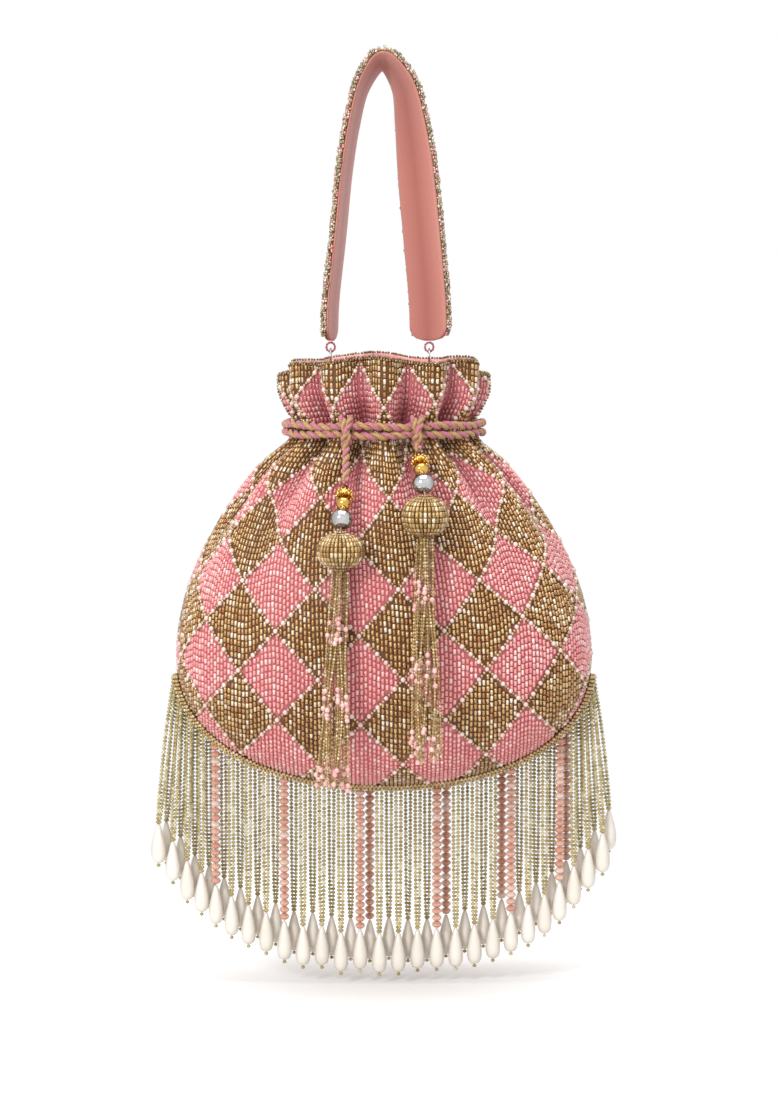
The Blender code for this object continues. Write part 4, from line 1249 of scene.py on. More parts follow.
@dataclass(frozen=True)
class Tassel:
    """A tassel on its rope: a gold cap, a gold and a silver bead, a melon of gold beads and
    a skirt of bead strands with three bands of pink pearls.

    Attributes:
        name: left or right.
        x: Where its rope leaves the neck.
        melon_x: X of the melon.
        foot_x: X of the skirt's foot.
        drop: From the neck's lower rope down to the melon.
        melon: The melon's length.
        skirt: The skirt's length.
        bands: Where the pearls lie, as shares of the skirt.
        form: The bag's shape.
        strings: The drawstrings that its rope comes from.
        cap_length: The cap's length.
        cap_radius: The cap's radius.
        cap_clear: Room between the rope's end and the cap's top ring.
        gold: Length and radius of the gold ball.
        silver: Length and radius of the silver ball.
        melon_radius: The melon's radius.
        melon_seat: From the silver ball to the melon.
        gap: Between two beads of the string.
        lie: Between the tassel and the bag that it lies on.
        hang: Room at both ends of the rope.
        swing_in: How far it can swing inward, in degrees.
        strands: Strands in the skirt.
        strand_bead: From one bead of a strand to the next.
        pearl_share: Share of a band's beads that are pearls.
        skirt_radii: The skirt's radius at its top and at its foot.
    """

    name: str
    x: float
    melon_x: float
    foot_x: float
    drop: float
    melon: float
    skirt: float
    bands: tuple[tuple[float, float], ...] = ((0.2, 0.33), (0.55, 0.68), (0.89, 1.0))
    form: BagForm = BagForm()
    strings: Drawstrings = Drawstrings()
    cap_length: float = 6.8
    cap_radius: float = 4.2
    cap_clear: float = 0.6
    gold: tuple[float, float] = (6.9, 3.75)
    silver: tuple[float, float] = (10.2, 5.4)
    melon_radius: float = 11.6
    melon_seat: float = 2.2
    gap: float = 0.3
    lie: float = 0.6
    hang: float = 0.95
    swing_in: float = 4.0
    strands: int = 15
    strand_bead: float = 1.6
    pearl_share: float = 0.26
    skirt_radii: tuple[float, float] = (5.0, 9.8)

    def places(self) -> tuple[Array, Array, Array, Array, Array]:
        """Lays the tassel on the bag's front, the skirt tilted until all of it is clear.

        Returns:
            The rope's start, the cap's top, the melon's middle and the skirt's two ends.
        """
        form, strings = self.form, self.strings
        out = form.neck[1] + strings.rope.radius + strings.seat
        cord = np.array([self.x, -out, form.neck_z - strings.apart])
        melon_z = cord[2] - self.drop
        melon = np.array([self.melon_x, -(form.front_depth(self.melon_x, melon_z)
                                          + self.melon_radius + self.lie), melon_z])
        melon_top = melon + [0, 0, self.melon / 2]
        string = self.cap_length + self.gold[0] + self.silver[0] + self.melon_seat + 2 * self.gap
        rest_z = melon_top[2] + 0.85 * string
        rest_y = -(form.front_depth(self.x, rest_z) + self.cap_radius + self.lie)
        rest = np.array([self.x, rest_y, rest_z])
        cap = melon_top + string * unit(rest - melon_top)
        top = melon - [0, 0, self.melon / 2 + 0.5]
        share = np.linspace(0.05, 1, 40)
        z = top[2] - share * self.skirt
        near_x = np.maximum(0, abs(self.foot_x) - (cord[2] - z) * math.sin(math.radians(self.swing_in)))
        need = form.front_depth(near_x, z) + self.lie
        tilt = ((need + self.skirt_radius(share) + top[1]) / (share * self.skirt)).max()
        foot = top + [self.foot_x - self.melon_x, -tilt * self.skirt, -self.skirt]
        back = np.array([0, form.set_back, 0])
        return cord + back, cap + back, melon + back, top + back, foot + back

    def skirt_radius(self, share: Array) -> Array:
        """The skirt's radius at each share of its length."""
        return self.skirt_radii[0] + (self.skirt_radii[1] - self.skirt_radii[0]) * share**0.8

    def tail_piece(self) -> Piece:
        """The short rope from under the drawstring, over the shoulder, to the cap.

        Returns:
            The rope.
        """
        cord, cap, *_ = self.places()
        start = cord - [0, 0, self.strings.rope.radius + self.hang]
        end = cap + [0, 0, self.hang + self.cap_clear]
        middle = (start + end) / 2
        reach = self.form.front_depth(middle[0], middle[2]) + self.strings.rope.radius + self.lie
        middle[1] = min(middle[1], self.form.set_back - reach)
        soup = Soup()
        Rope(radius=1.9, lay=8.0).add(soup, smooth_path([start, middle, end], 60))
        return soup.build(f"{self.name}_tail_rope")

    def string_pieces(self, rng: Rng) -> list[Piece]:
        """The cap, the two metal beads, the melon with its gold beads, and their thread.

        Args:
            rng: The random draws.

        Returns:
            The cap, the gold and the silver ball, the melon's core and beads, and the thread.
        """
        _, cap, melon, *_ = self.places()
        top = melon + [0, 0, self.melon / 2]
        way = unit((top - cap)[None])[0]
        made = []
        soup = Soup()
        set_beads(soup, CAP, (cap + way * self.cap_length / 2)[None], -way[None],
                  self.cap_length, self.cap_radius * 0.9)
        turn = np.linspace(0, 2 * np.pi, 12, endpoint=False)
        guide = unit(np.cross([0.0, 1.0, 0.0], way))
        other = np.cross(way, guide)
        ring = np.cos(turn)[:, None] * guide + np.sin(turn)[:, None] * other
        for share, radius, size in ((0.93, 0.9, 0.95), (0.6, 0.84, 0.7), (0.36, 0.5, 0.4)):
            centres = cap + way * self.cap_length * share + ring * self.cap_radius * radius
            set_beads(soup, PEARL, centres, ring, 2 * size, size)
        made.append(soup.build(f"{self.name}_filigree_cap"))
        at = self.cap_length + self.gap
        for metal, (length, radius) in (("gold", self.gold), ("silver", self.silver)):
            soup = Soup()
            set_beads(soup, BALL, (cap + way * (at + length / 2))[None], way[None], length, radius)
            for end in (0.06, 0.94):
                collar = cap + way * (at + end * length) + ring * 0.28 * radius
                set_beads(soup, PEARL, collar, ring, 1.0, 0.5)
            made.append(soup.build(f"{self.name}_{metal}_ball"))
            at += length + self.gap
        soup = Soup()
        set_beads(soup, BALL, melon[None], UP, self.melon - 2.6, self.melon_radius - 1.3, 0.1)
        made.append(soup.build(f"{self.name}_melon_core"))
        soup = Soup()
        steps = np.radians(np.linspace(-74, 74, 10))
        meridians = np.linspace(0, 2 * np.pi, 32, endpoint=False)
        spin, rise = [v.ravel() for v in np.meshgrid(meridians, steps)]
        ribs = 1 + 0.02 * np.cos(15 * spin)
        flat = np.stack([np.cos(spin), np.sin(spin)], axis=1) * (np.cos(rise) ** 0.8 * ribs)[:, None]
        centres = melon + np.column_stack([flat * (self.melon_radius - 0.95),
                                           np.sin(rise) * (self.melon / 2 - 0.7)])
        upward = np.column_stack([-np.cos(spin) * np.sin(rise), -np.sin(spin) * np.sin(rise), np.cos(rise)])
        size = np.clip(1.05 * np.cos(rise) ** 0.8, 0.42, 1.0)
        set_beads(soup, BEAD, centres, upward, 2.75, size, rng.random(len(centres)))
        for end in (1, -1):
            crown = melon + np.column_stack([2.6 * np.cos(turn), 2.6 * np.sin(turn),
                                             np.full(12, end * (self.melon / 2 - 0.1))])
            set_beads(soup, ROUND_BEAD, crown, UP, 1.5, 0.75, rng.random(12))
        made.append(soup.build(f"{self.name}_melon_beads"))
        soup = Soup()
        thread = np.concatenate([np.linspace(cap + way, top, 20),
                                 np.linspace(top, melon - [0, 0, self.melon / 2], 20)[1:]])
        tube_skin(soup, thread, 0.5, 8)
        made.append(soup.build(f"{self.name}_core_thread"))
        return made

    def skirt_pieces(self, rng: Rng) -> list[Piece]:
        """The strands of the skirt: gold seed beads, with pearls where the bands lie.

        Args:
            rng: The random draws.

        Returns:
            The beads, the pearls and the threads.
        """
        *_, start, end = self.places()
        way = unit((end - start)[None])[0]
        first = unit(np.cross([0.0, 1.0, 0.0], way))
        second = np.cross(way, first)
        gold, pearls, threads = Soup(), Soup(), Soup()
        for number in range(self.strands):
            around = number * 2.4 + rng.uniform(-0.15, 0.15)
            out = (0.28 + 0.62 * math.sqrt((number + 0.5) / self.strands))
            share = np.linspace(0.0, rng.uniform(0.94, 1.0), 120)
            sway = 0.35 * np.sin(share * rng.uniform(3, 7) + number)
            across = (np.cos(around + sway)[:, None] * first + np.sin(around + sway)[:, None] * second)
            path = (start + share[:, None] * self.skirt * way
                    + (out * self.skirt_radius(share) - 0.7)[:, None] * across)
            length = length_of(path)
            count = int(length / self.strand_bead)
            places = (np.arange(count) + 0.5) / count
            banded = np.zeros(count, bool)
            for low, high in self.bands:
                shift = rng.uniform(-0.015, 0.015)
                banded |= (places > low + shift) & (places < high + shift)
            centres, ways = spaced_line(path, places)
            chosen = banded & (rng.random(count) < self.pearl_share)
            set_beads(gold, ROUND_BEAD, centres[~chosen], ways[~chosen], 1.5,
                      rng.uniform(0.7, 0.85, (~chosen).sum()), rng.random((~chosen).sum()))
            spots = centres[chosen] + rng.normal(0, 0.25, (chosen.sum(), 3))
            set_beads(pearls, PEARL, spots, ways[chosen], 2.8, 1.4, rng.random(chosen.sum()))
            tube_skin(threads, path[::3], 0.25, 5)
        name = self.name
        return [gold.build(f"{name}_skirt_strands"), pearls.build(f"{name}_skirt_pearls"),
                threads.build(f"{name}_skirt_threads")]


@dataclass(frozen=True)
class Fringe:
    """The fringe on the bottom seam: a tape, two strands of beads to each drop pearl, in
    two rows, and some strands of crystals among them.

    Attributes:
        form: The bag's shape.
        top_below_belly: How far under the belly the tape starts.
        count: How many drops hang from it.
        strand: Length of a strand.
        variation: How much the strands' lengths vary.
        row_offset: How far each row hangs from the seam plane.
        row_stagger: How much lower the front row hangs, and higher the back one.
        pitch: The least distance between drops of one row.
        spread: How far each strand of a pair starts from its drop's place on the seam.
        pair: Shares of the way down, and how far each strand of a pair stands out there.
        gap: Between the panels' seam and the tape.
        tape: The tape's depth and width.
        bead: From one bead of a strand to the next.
        bead_radius: The radius of a strand's beads.
        seam_bead: Length and radius of the beads that cover the tape.
        pearl: Length and radius of a drop pearl.
        crystal: Length and radius of a crystal.
        crystal_places: X of the strands of crystals.
    """

    form: BagForm = BagForm()
    top_below_belly: float = 9.0
    count: int = 54
    strand: float = 69.0
    variation: float = 2.0
    row_offset: float = 3.7
    row_stagger: float = 2.6
    pitch: float = 7.2
    spread: float = 1.25
    pair: tuple[tuple[float, float], ...] = ((0.4, 1.15), (0.82, 0.9), (1.0, 0.4))
    gap: float = 0.3
    tape: tuple[float, float] = (1.6, 8.4)
    bead: float = 1.85
    bead_radius: float = 1.06
    seam_bead: tuple[float, float] = (1.95, 0.98)
    pearl: tuple[float, float] = (20.4, 3.8)
    crystal: tuple[float, float] = (3.4, 2.45)
    crystal_places: tuple[float, ...] = (-86, -51, -14.5, -9.5, 24.5, 29.5, 59.5, 64.5, 88.5, 93.5)

    def seam(self, outward: float) -> Array:
        """The seam's curve: the bottom's superellipse, pushed outward.

        Args:
            outward: How far.

        Returns:
            X and z of points from left to right.
        """
        form = self.form
        limit = 1 - (self.top_below_belly / form.bottom) ** form.power
        widest = math.asin(math.sqrt(limit))
        angle = np.linspace(-widest, widest, 400)
        power = 2 / form.power
        x = form.belly[0] * np.sign(np.sin(angle)) * np.abs(np.sin(angle)) ** power
        z = form.belly_z - form.bottom * np.abs(np.cos(angle)) ** power
        slope = unit(np.gradient(np.column_stack([x, z]), axis=0))
        return np.column_stack([x, z]) + outward * np.column_stack([slope[:, 1], -slope[:, 0]])

    def drops(self) -> list[dict[str, float]]:
        """Spaces the drops along the seam, and spreads each row until its pearls are clear.

        Returns:
            For each drop its row, its share of the seam, x and z there, the x that it hangs
            at and its extra length.
        """
        line = self.seam(self.gap + self.tape[0])
        whole = np.column_stack([line[:, 0], np.zeros(len(line)), line[:, 1]])
        share = (np.arange(self.count) + 0.5) / self.count
        seam, _ = spaced_line(whole, share)
        hanging = seam[:, 0].copy()
        for row in (0, 1):
            for side in (-1, 1):
                mine = [i for i in range(row, self.count, 2) if side * seam[i, 0] >= 0]
                mine.sort(key=lambda i: abs(seam[i, 0]))
                for before, index in zip(mine, mine[1:]):
                    hanging[index] = side * max(abs(seam[index, 0]), abs(hanging[before]) + self.pitch)
        extra = self.variation * (0.5 + 0.5 * np.sin(2.4 * np.arange(self.count) ** 1.3))
        extra += self.row_stagger * (1 - 2 * (np.arange(self.count) % 2))
        return [{"row": i % 2, "share": share[i], "seam_x": seam[i, 0], "seam_z": seam[i, 2],
                 "x": hanging[i], "extra": extra[i]} for i in range(self.count)]

    def crystal_drops(self, drops: list[dict[str, float]]) -> set[int]:
        """Which drops hang on crystals: the free one nearest to each place.

        Args:
            drops: All the drops.

        Returns:
            The chosen drops' numbers.
        """
        chosen: set[int] = set()
        for place in self.crystal_places:
            free = [i for i in range(len(drops)) if i not in chosen]
            chosen.add(min(free, key=lambda i: abs(drops[i]["x"] - place)))
        return chosen

    def tape_piece(self) -> Piece:
        """The tape along the seam, which carries the fringe.

        Returns:
            The tape.
        """
        sheets = []
        across = np.linspace(-1, 1, 7) * self.tape[1] / 2
        for outward in (self.gap + self.tape[0], self.gap):
            line = self.seam(outward)[::4]
            y = self.form.set_back + np.repeat(across[:, None], len(line), axis=1)
            sheets.append(np.stack([np.broadcast_to(line[:, 0], y.shape), y,
                                    np.broadcast_to(line[:, 1], y.shape)], axis=-1))
        soup = Soup()
        grid_skin(soup, sheets[0], sheets[1])
        return soup.build("fringe_tape")

    def seam_beads_piece(self, rng: Rng) -> Piece:
        """Rows of seed beads that cover the tape and close the edge between it and the panels:
        each row runs along the seam's curve at its own distance from the seam plane.

        Args:
            rng: The random draws.

        Returns:
            The beads.
        """
        half = self.tape[1] / 2
        rows = [(y, self.gap + self.tape[0] + 0.3) for y in np.linspace(-half, half, 6)]
        rows += [(side * (half + out), push)
                 for side in (-1, 1) for out, push in ((0.6, 1.0), (1.5, 0.2))]
        soup = Soup()
        for y, push in rows:
            line = self.seam(push)
            depth = np.full(len(line), self.form.set_back + y)
            path = np.column_stack([line[:, 0], depth, line[:, 1]])
            centres, ways, count = bead_places(path, self.seam_bead[0])
            set_beads(soup, ROUND_BEAD, centres, ways, *self.seam_bead, rng.random(count))
        return soup.build("fringe_seam_beads")

    def pieces(self, rng: Rng) -> list[Piece]:
        """The strands, the drop pearls, the crystals and the small beads at the pearls' ends.

        Args:
            rng: The random draws.

        Returns:
            The strands, the pearls, the crystals, the threads and the small beads.
        """
        form, drops = self.form, self.drops()
        crystals = self.crystal_drops(drops)
        line = self.seam(self.gap + self.tape[0])
        whole = np.column_stack([line[:, 0], np.zeros(len(line)), line[:, 1]])
        length = length_of(whole)
        strands, pearls, facets, threads, stops = Soup(), Soup(), Soup(), Soup(), Soup()
        for number, drop in enumerate(drops):
            side_y = self.row_offset * (1 if drop["row"] else -1)
            top = np.array([drop["x"], side_y, drop["seam_z"] - self.strand - drop["extra"]])
            back = np.array([0, form.set_back, 0])
            if number in crystals:
                seam = np.array([drop["seam_x"], side_y * 0.75, drop["seam_z"] - 0.4])
                bend = seam * [0.3, 0.3, 0.7] + top * [0.7, 0.7, 0.3]
                path = smooth_path([seam, bend, top], 40) + back
                centres, ways, count = bead_places(path, self.crystal[0])
                set_beads(facets, RONDELLE, centres, ways, self.crystal[0] * 0.99, self.crystal[1],
                          rng.random(count))
                tube_skin(threads, path, 0.35, 6)
            else:
                places = drop["share"] + np.array([-1, 1]) * self.spread / length
                starts, _ = spaced_line(whole, places)
                for way, start in zip((-1, 1), starts):
                    begin = start * [1, 0, 1] + [0, side_y * 0.75, 0.2]
                    end = top + [way * self.pair[-1][1], 0, -0.4]
                    middle = np.array([drop["seam_x"], begin[1], begin[2]])
                    bends = [middle + (top - middle) * share + [way * apart, 0, 0]
                             for share, apart in self.pair[:-1]]
                    path = smooth_path([begin, *bends, end], 40) + back
                    centres, ways, count = bead_places(path, self.bead)
                    set_beads(strands, ROUND_BEAD, centres, ways, self.bead * 1.03,
                              self.bead_radius * rng.uniform(0.9, 1.0, count), rng.random(count))
                    tube_skin(threads, path[::3], 0.3, 5)
            tall, wide = self.pearl
            hang = top + back
            set_beads(pearls, DROP, hang - UP * tall / 2, UP, tall, wide, rng.random(1))
            set_beads(stops, ROUND_BEAD, hang - UP * (tall + 1.1), UP, 2.0, 1.0, rng.random(1))
            set_beads(stops, ROUND_BEAD, hang + UP * 0.7, UP, 1.6, 1.35, rng.random(1))
        return [strands.build("fringe_strands"), pearls.build("fringe_drop_pearls"),
                facets.build("fringe_crystals", smooth=False), threads.build("fringe_threads"),
                stops.build("fringe_stop_beads")]


# Finishes


def colour(code: str) -> tuple[float, float, float, float]:
    """The linear colour of a six-digit code."""
    parts = [int(code[i:i + 2], 16) / 255 for i in (0, 2, 4)]
    return (*[v / 12.92 if v <= 0.04045 else ((v + 0.055) / 1.055) ** 2.4 for v in parts], 1.0)


@dataclass
class Tree:
    """A node tree that nodes are added to, each with its inputs set or linked.

    Attributes:
        nodes: The tree itself.
    """

    nodes: bpy.types.NodeTree

    def add(self, kind: str, inputs: dict[str | int, object] | None = None, **settings: object
            ) -> bpy.types.Node:
        """Adds a node.

        Args:
            kind: The node's type.
            inputs: A socket to link or a value to set for each input.
            settings: The node's own settings.

        Returns:
            The new node.
        """
        node = self.nodes.nodes.new(kind)
        for name, value in settings.items():
            setattr(node, name, value)
        for key, value in (inputs or {}).items():
            if isinstance(value, bpy.types.NodeSocket):
                self.nodes.links.new(value, node.inputs[key])
            else:
                node.inputs[key].default_value = value
        return node

    def mix(self, factor: object, first: object, second: object, blend: str = "MIX"
            ) -> bpy.types.NodeSocket:
        """The result of a colour mix."""
        return self.add("ShaderNodeMix", {0: factor, 6: first, 7: second}, data_type="RGBA",
                        blend_type=blend).outputs[2]

    def math(self, kind: str, first: object, second: object = 0.0) -> bpy.types.NodeSocket:
        """The result of a sum on two values."""
        return self.add("ShaderNodeMath", {0: first, 1: second}, operation=kind).outputs[0]

    def span(self, value: object, low: float, high: float) -> bpy.types.NodeSocket:
        """A value from 0 to 1 brought to another range."""
        return self.add("ShaderNodeMapRange", {0: value, 3: low, 4: high}).outputs[0]


class Effect(Enum):
    """The shader node groups that the finishes share."""

    BEADS = "bead_glass"
    CLOTH = "woven_cloth"
    CORD = "twisted_fibre"
    METAL = "worn_metal"


def group_of(effect: Effect) -> bpy.types.NodeTree:
    """The effect's node group, made the first time it is asked for.

    Every group takes Dark, Light and Other, the colours that it mixes by Tint and by Tone,
    Scale, the size of its detail, and Glint, how far high tints turn to white as a painted
    glint; it gives Color, Roughness and Height.

    Args:
        effect: Which effect.

    Returns:
        The node group.
    """
    if effect.value in bpy.data.node_groups:
        return bpy.data.node_groups[effect.value]
    group = bpy.data.node_groups.new(effect.value, "ShaderNodeTree")
    for name, kind in (("Dark", "Color"), ("Light", "Color"), ("Other", "Color"), ("Tint", "Float"),
                       ("Tone", "Float"), ("Scale", "Float"), ("Glint", "Float")):
        group.interface.new_socket(name, in_out="INPUT", socket_type=f"NodeSocket{kind}")
    for name, kind in (("Color", "Color"), ("Roughness", "Float"), ("Height", "Float")):
        group.interface.new_socket(name, in_out="OUTPUT", socket_type=f"NodeSocket{kind}")
    tree = Tree(group)
    given = tree.add("NodeGroupInput").outputs
    place = tree.add("ShaderNodeTexCoord").outputs["Object"]
    fine = tree.add("ShaderNodeTexNoise", {"Vector": place, "Scale": given["Scale"], "Detail": 3.0})
    plain = tree.mix(given["Tint"], given["Dark"], given["Light"])
    if effect is Effect.BEADS:
        shade = tree.mix(tree.span(fine.outputs[0], 0.2, 1.2), given["Dark"], plain)
        # Beads with the highest tints are painted toward white: a painted glint.
        glint = tree.add("ShaderNodeMapRange", {0: given["Tint"], 1: 0.8, 2: 0.95, 3: 0.0,
                                                4: given["Glint"]}).outputs[0]
        bright = tree.mix(glint, shade, tree.mix(0.6, given["Light"], (1.0, 0.98, 0.95, 1.0)))
        # Tone turns the colour toward Other; on the panels' glass beads this is the painted shade in the
        # folds' valleys.
        tinted = tree.mix(given["Tone"], bright, given["Other"])
        rough = tree.span(given["Tint"], 0.1, 0.3)
        height = fine.outputs[0]
    elif effect is Effect.CLOTH:
        weave = {"Vector": place, "Scale": given["Scale"], "Distortion": 1.5}
        warp, weft = [tree.add("ShaderNodeTexWave", weave, bands_direction=way).outputs[1] for way in "XZ"]
        height = tree.math("MULTIPLY", warp, weft)
        shade = tree.mix(tree.span(height, 0.6, 0.0), plain, (0.6, 0.52, 0.5, 1.0), "MULTIPLY")
        tinted = tree.mix(given["Tone"], shade, given["Other"])
        rough = tree.span(fine.outputs[0], 0.45, 0.7)
    elif effect is Effect.CORD:
        streak = tree.add("ShaderNodeTexWave", {"Vector": place, "Scale": given["Scale"], "Distortion": 4.0,
                                                "Detail": 2.0}, bands_direction="DIAGONAL").outputs[1]
        base = tree.mix(given["Tone"], given["Light"], given["Other"])
        tinted = tree.mix(tree.span(streak, 0.55, 0.0), base, given["Dark"], "MULTIPLY")
        rough = tree.span(streak, 0.55, 0.35)
        height = streak
    else:
        spots = tree.add("ShaderNodeTexVoronoi", {"Vector": place, "Scale": given["Scale"]}).outputs[0]
        tinted = tree.mix(tree.span(fine.outputs[0], 0.0, 1.0), given["Dark"], given["Light"])
        rough = tree.span(spots, 0.04, 0.14)
        height = spots
    tree.add("NodeGroupOutput", {"Color": tinted, "Roughness": rough, "Height": height})
    return group


@dataclass(frozen=True)
class Finish:
    """A material made from one effect.

    Attributes:
        name: The material's name.
        effect: The node group that drives it.
        dark: The colour of its low tints and its shade.
        light: The colour of its high tints.
        other: The colour of its other tone; for the pink and the gold glass, the painted shade in the folds'
            valleys.
        edge: The colour of the painted shade that it turns to where it is seen edge on.
        edge_shade_share: How far it turns to that painted shade.
        glint: How far its highest tints turn to white, a painted glint.
        scale: The scale of its detail.
        bump: How strong its relief is, in millimetres.
        metallic: How metallic it is.
        coat: Weight of its clear coat.
        sheen: Weight of its sheen.
        transmission: How much light goes through it.
        ior: Its index of refraction.
    """

    name: str
    effect: Effect
    dark: str
    light: str
    other: str = "ffffff"
    edge: str = "000000"
    edge_shade_share: float = 0.0
    glint: float = 0.0
    scale: float = 900.0
    bump: float = 0.05
    metallic: float = 0.0
    coat: float = 0.0
    sheen: float = 0.0
    transmission: float = 0.0
    ior: float = 1.5

    def build(self) -> bpy.types.Material:
        """Makes the material.

        Returns:
            The new material.
        """
        material = bpy.data.materials.new(self.name)
        material.use_nodes = True
        tree = Tree(material.node_tree)
        shader = material.node_tree.nodes["Principled BSDF"]
        effect = tree.add("ShaderNodeGroup", node_tree=group_of(self.effect))
        for label, value in (("Dark", colour(self.dark)), ("Light", colour(self.light)),
                             ("Other", colour(self.other)), ("Scale", self.scale), ("Glint", self.glint)):
            effect.inputs[label].default_value = value
        for label in ("tint", "tone"):
            read = tree.add("ShaderNodeAttribute", attribute_name=label)
            material.node_tree.links.new(read.outputs["Fac"], effect.inputs[label.title()])
        relief = tree.add("ShaderNodeBump", {"Height": effect.outputs["Height"], "Distance": self.bump * MM,
                                             "Strength": 0.8})
        links = material.node_tree.links
        # Turns the colour toward the edge colour where a surface is seen edge on: a painted shade that
        # rounds the beads and pearls, and on the metals a painted dark reflection.
        facing = tree.add("ShaderNodeLayerWeight", {"Blend": 0.42}).outputs["Facing"]
        edge_shaded_colour = tree.mix(tree.math("MULTIPLY", facing, self.edge_shade_share), effect.outputs["Color"],
                           colour(self.edge))
        links.new(edge_shaded_colour, shader.inputs["Base Color"])
        links.new(effect.outputs["Roughness"], shader.inputs["Roughness"])
        links.new(relief.outputs[0], shader.inputs["Normal"])
        for label, value in (("Metallic", self.metallic), ("Coat Weight", self.coat), ("IOR", self.ior),
                             ("Coat Roughness", 0.08), ("Sheen Weight", self.sheen),
                             ("Transmission Weight", self.transmission)):
            shader.inputs[label].default_value = value
        return material


# Each edge colour is a painted shade at grazing angles, and on the polished metals a painted dark
# reflection.
FINISHES = {f.name: f for f in (
    # The pink and the gold glass take Other as the painted shade in the valleys of the folds.
    Finish("pink_glass", Effect.BEADS, "e88c8c", "fcc6be", "94404a", edge="bc5a60", edge_shade_share=0.7,
           glint=0.6, metallic=0.05, coat=0.8),
    Finish("gold_glass", Effect.BEADS, "a86c2a", "ffdc9c", "5a3614", edge="3a2008", edge_shade_share=0.9,
           glint=0.8, metallic=0.3, coat=0.7),
    Finish("silver_glass", Effect.BEADS, "c9beb0", "f6f2ea", edge="6a625a", edge_shade_share=0.7, metallic=0.4,
           coat=0.6),
    Finish("blush_pearl", Effect.BEADS, "ecc8c0", "f8e6de", edge="a8746a", edge_shade_share=0.6, coat=0.7,
           bump=0.02),
    Finish("cream_pearl", Effect.BEADS, "e4dcd0", "f5efe6", edge="8c7d6a", edge_shade_share=0.7, coat=1.0,
           bump=0.01, scale=120.0),
    Finish("clear_seed", Effect.BEADS, "b08c58", "ecd9b6", edge="5a4020", edge_shade_share=0.7, metallic=0.3,
           coat=0.7),
    Finish("dark_seed", Effect.BEADS, "6a4f2c", "c9a86a", edge="2c1c0c", edge_shade_share=0.8, metallic=0.4,
           coat=0.5),
    Finish("champagne_seed", Effect.BEADS, "988746", "e0ce90", edge="64562c", edge_shade_share=0.65, glint=0.4,
           metallic=0.1, coat=0.6),
    Finish("seam_seed", Effect.BEADS, "b08c50", "f0d8a4", edge="6a4c20", edge_shade_share=0.6, glint=0.3,
           metallic=0.2, coat=0.7),
    Finish("tassel_seed", Effect.BEADS, "9c6f2c", "f8d894", edge="38220a", edge_shade_share=0.9, glint=0.6,
           metallic=0.25, coat=0.6),
    Finish("pink_pearl", Effect.BEADS, "e8a8a2", "fad8d2", edge="b8706c", edge_shade_share=0.5, coat=0.9,
           bump=0.02),
    Finish("edge_seed", Effect.BEADS, "7a5a30", "f2e4c4", "ee9ca0", edge="2e2010", edge_shade_share=0.8, glint=0.6,
           metallic=0.3, coat=0.6),
    Finish("peach_crystal", Effect.BEADS, "d8977c", "f6cdb6", edge="a05a40", edge_shade_share=0.7, glint=0.5,
           coat=0.8, transmission=0.15, ior=1.54, bump=0.0),
    Finish("panel_cloth", Effect.CLOTH, "d0747a", "6e441a", "eaa3a4", scale=700.0, sheen=0.05),
    Finish("satin", Effect.CLOTH, "d98489", "efb0b0", "eaa3a4", scale=900.0, sheen=0.4, bump=0.03),
    Finish("strap_cloth", Effect.CLOTH, "bd7266", "da9284", scale=800.0, sheen=0.3, bump=0.04),
    Finish("tape_cloth", Effect.CLOTH, "a5854c", "c8aa6c", scale=800.0),
    Finish("thread", Effect.CORD, "c8b080", "d9c08f", "d9c08f", scale=800.0),
    Finish("two_tone_cord", Effect.CORD, "8c6a60", "d67f92", "cda668", scale=520.0, bump=0.2, sheen=0.3),
    Finish("pink_cord", Effect.CORD, "a8707a", "e08c9a", "cf7a8a", scale=900.0, bump=0.1, sheen=0.3),
    Finish("polished_gold", Effect.METAL, "d09a3c", "ffd982", edge="5c3608", edge_shade_share=0.95, scale=300.0,
           metallic=1.0, bump=0.01),
    Finish("polished_silver", Effect.METAL, "a4a4aa", "f2f2f4", edge="1c1c20", edge_shade_share=0.95, scale=300.0,
           metallic=1.0, bump=0.01),
)}


# The scene


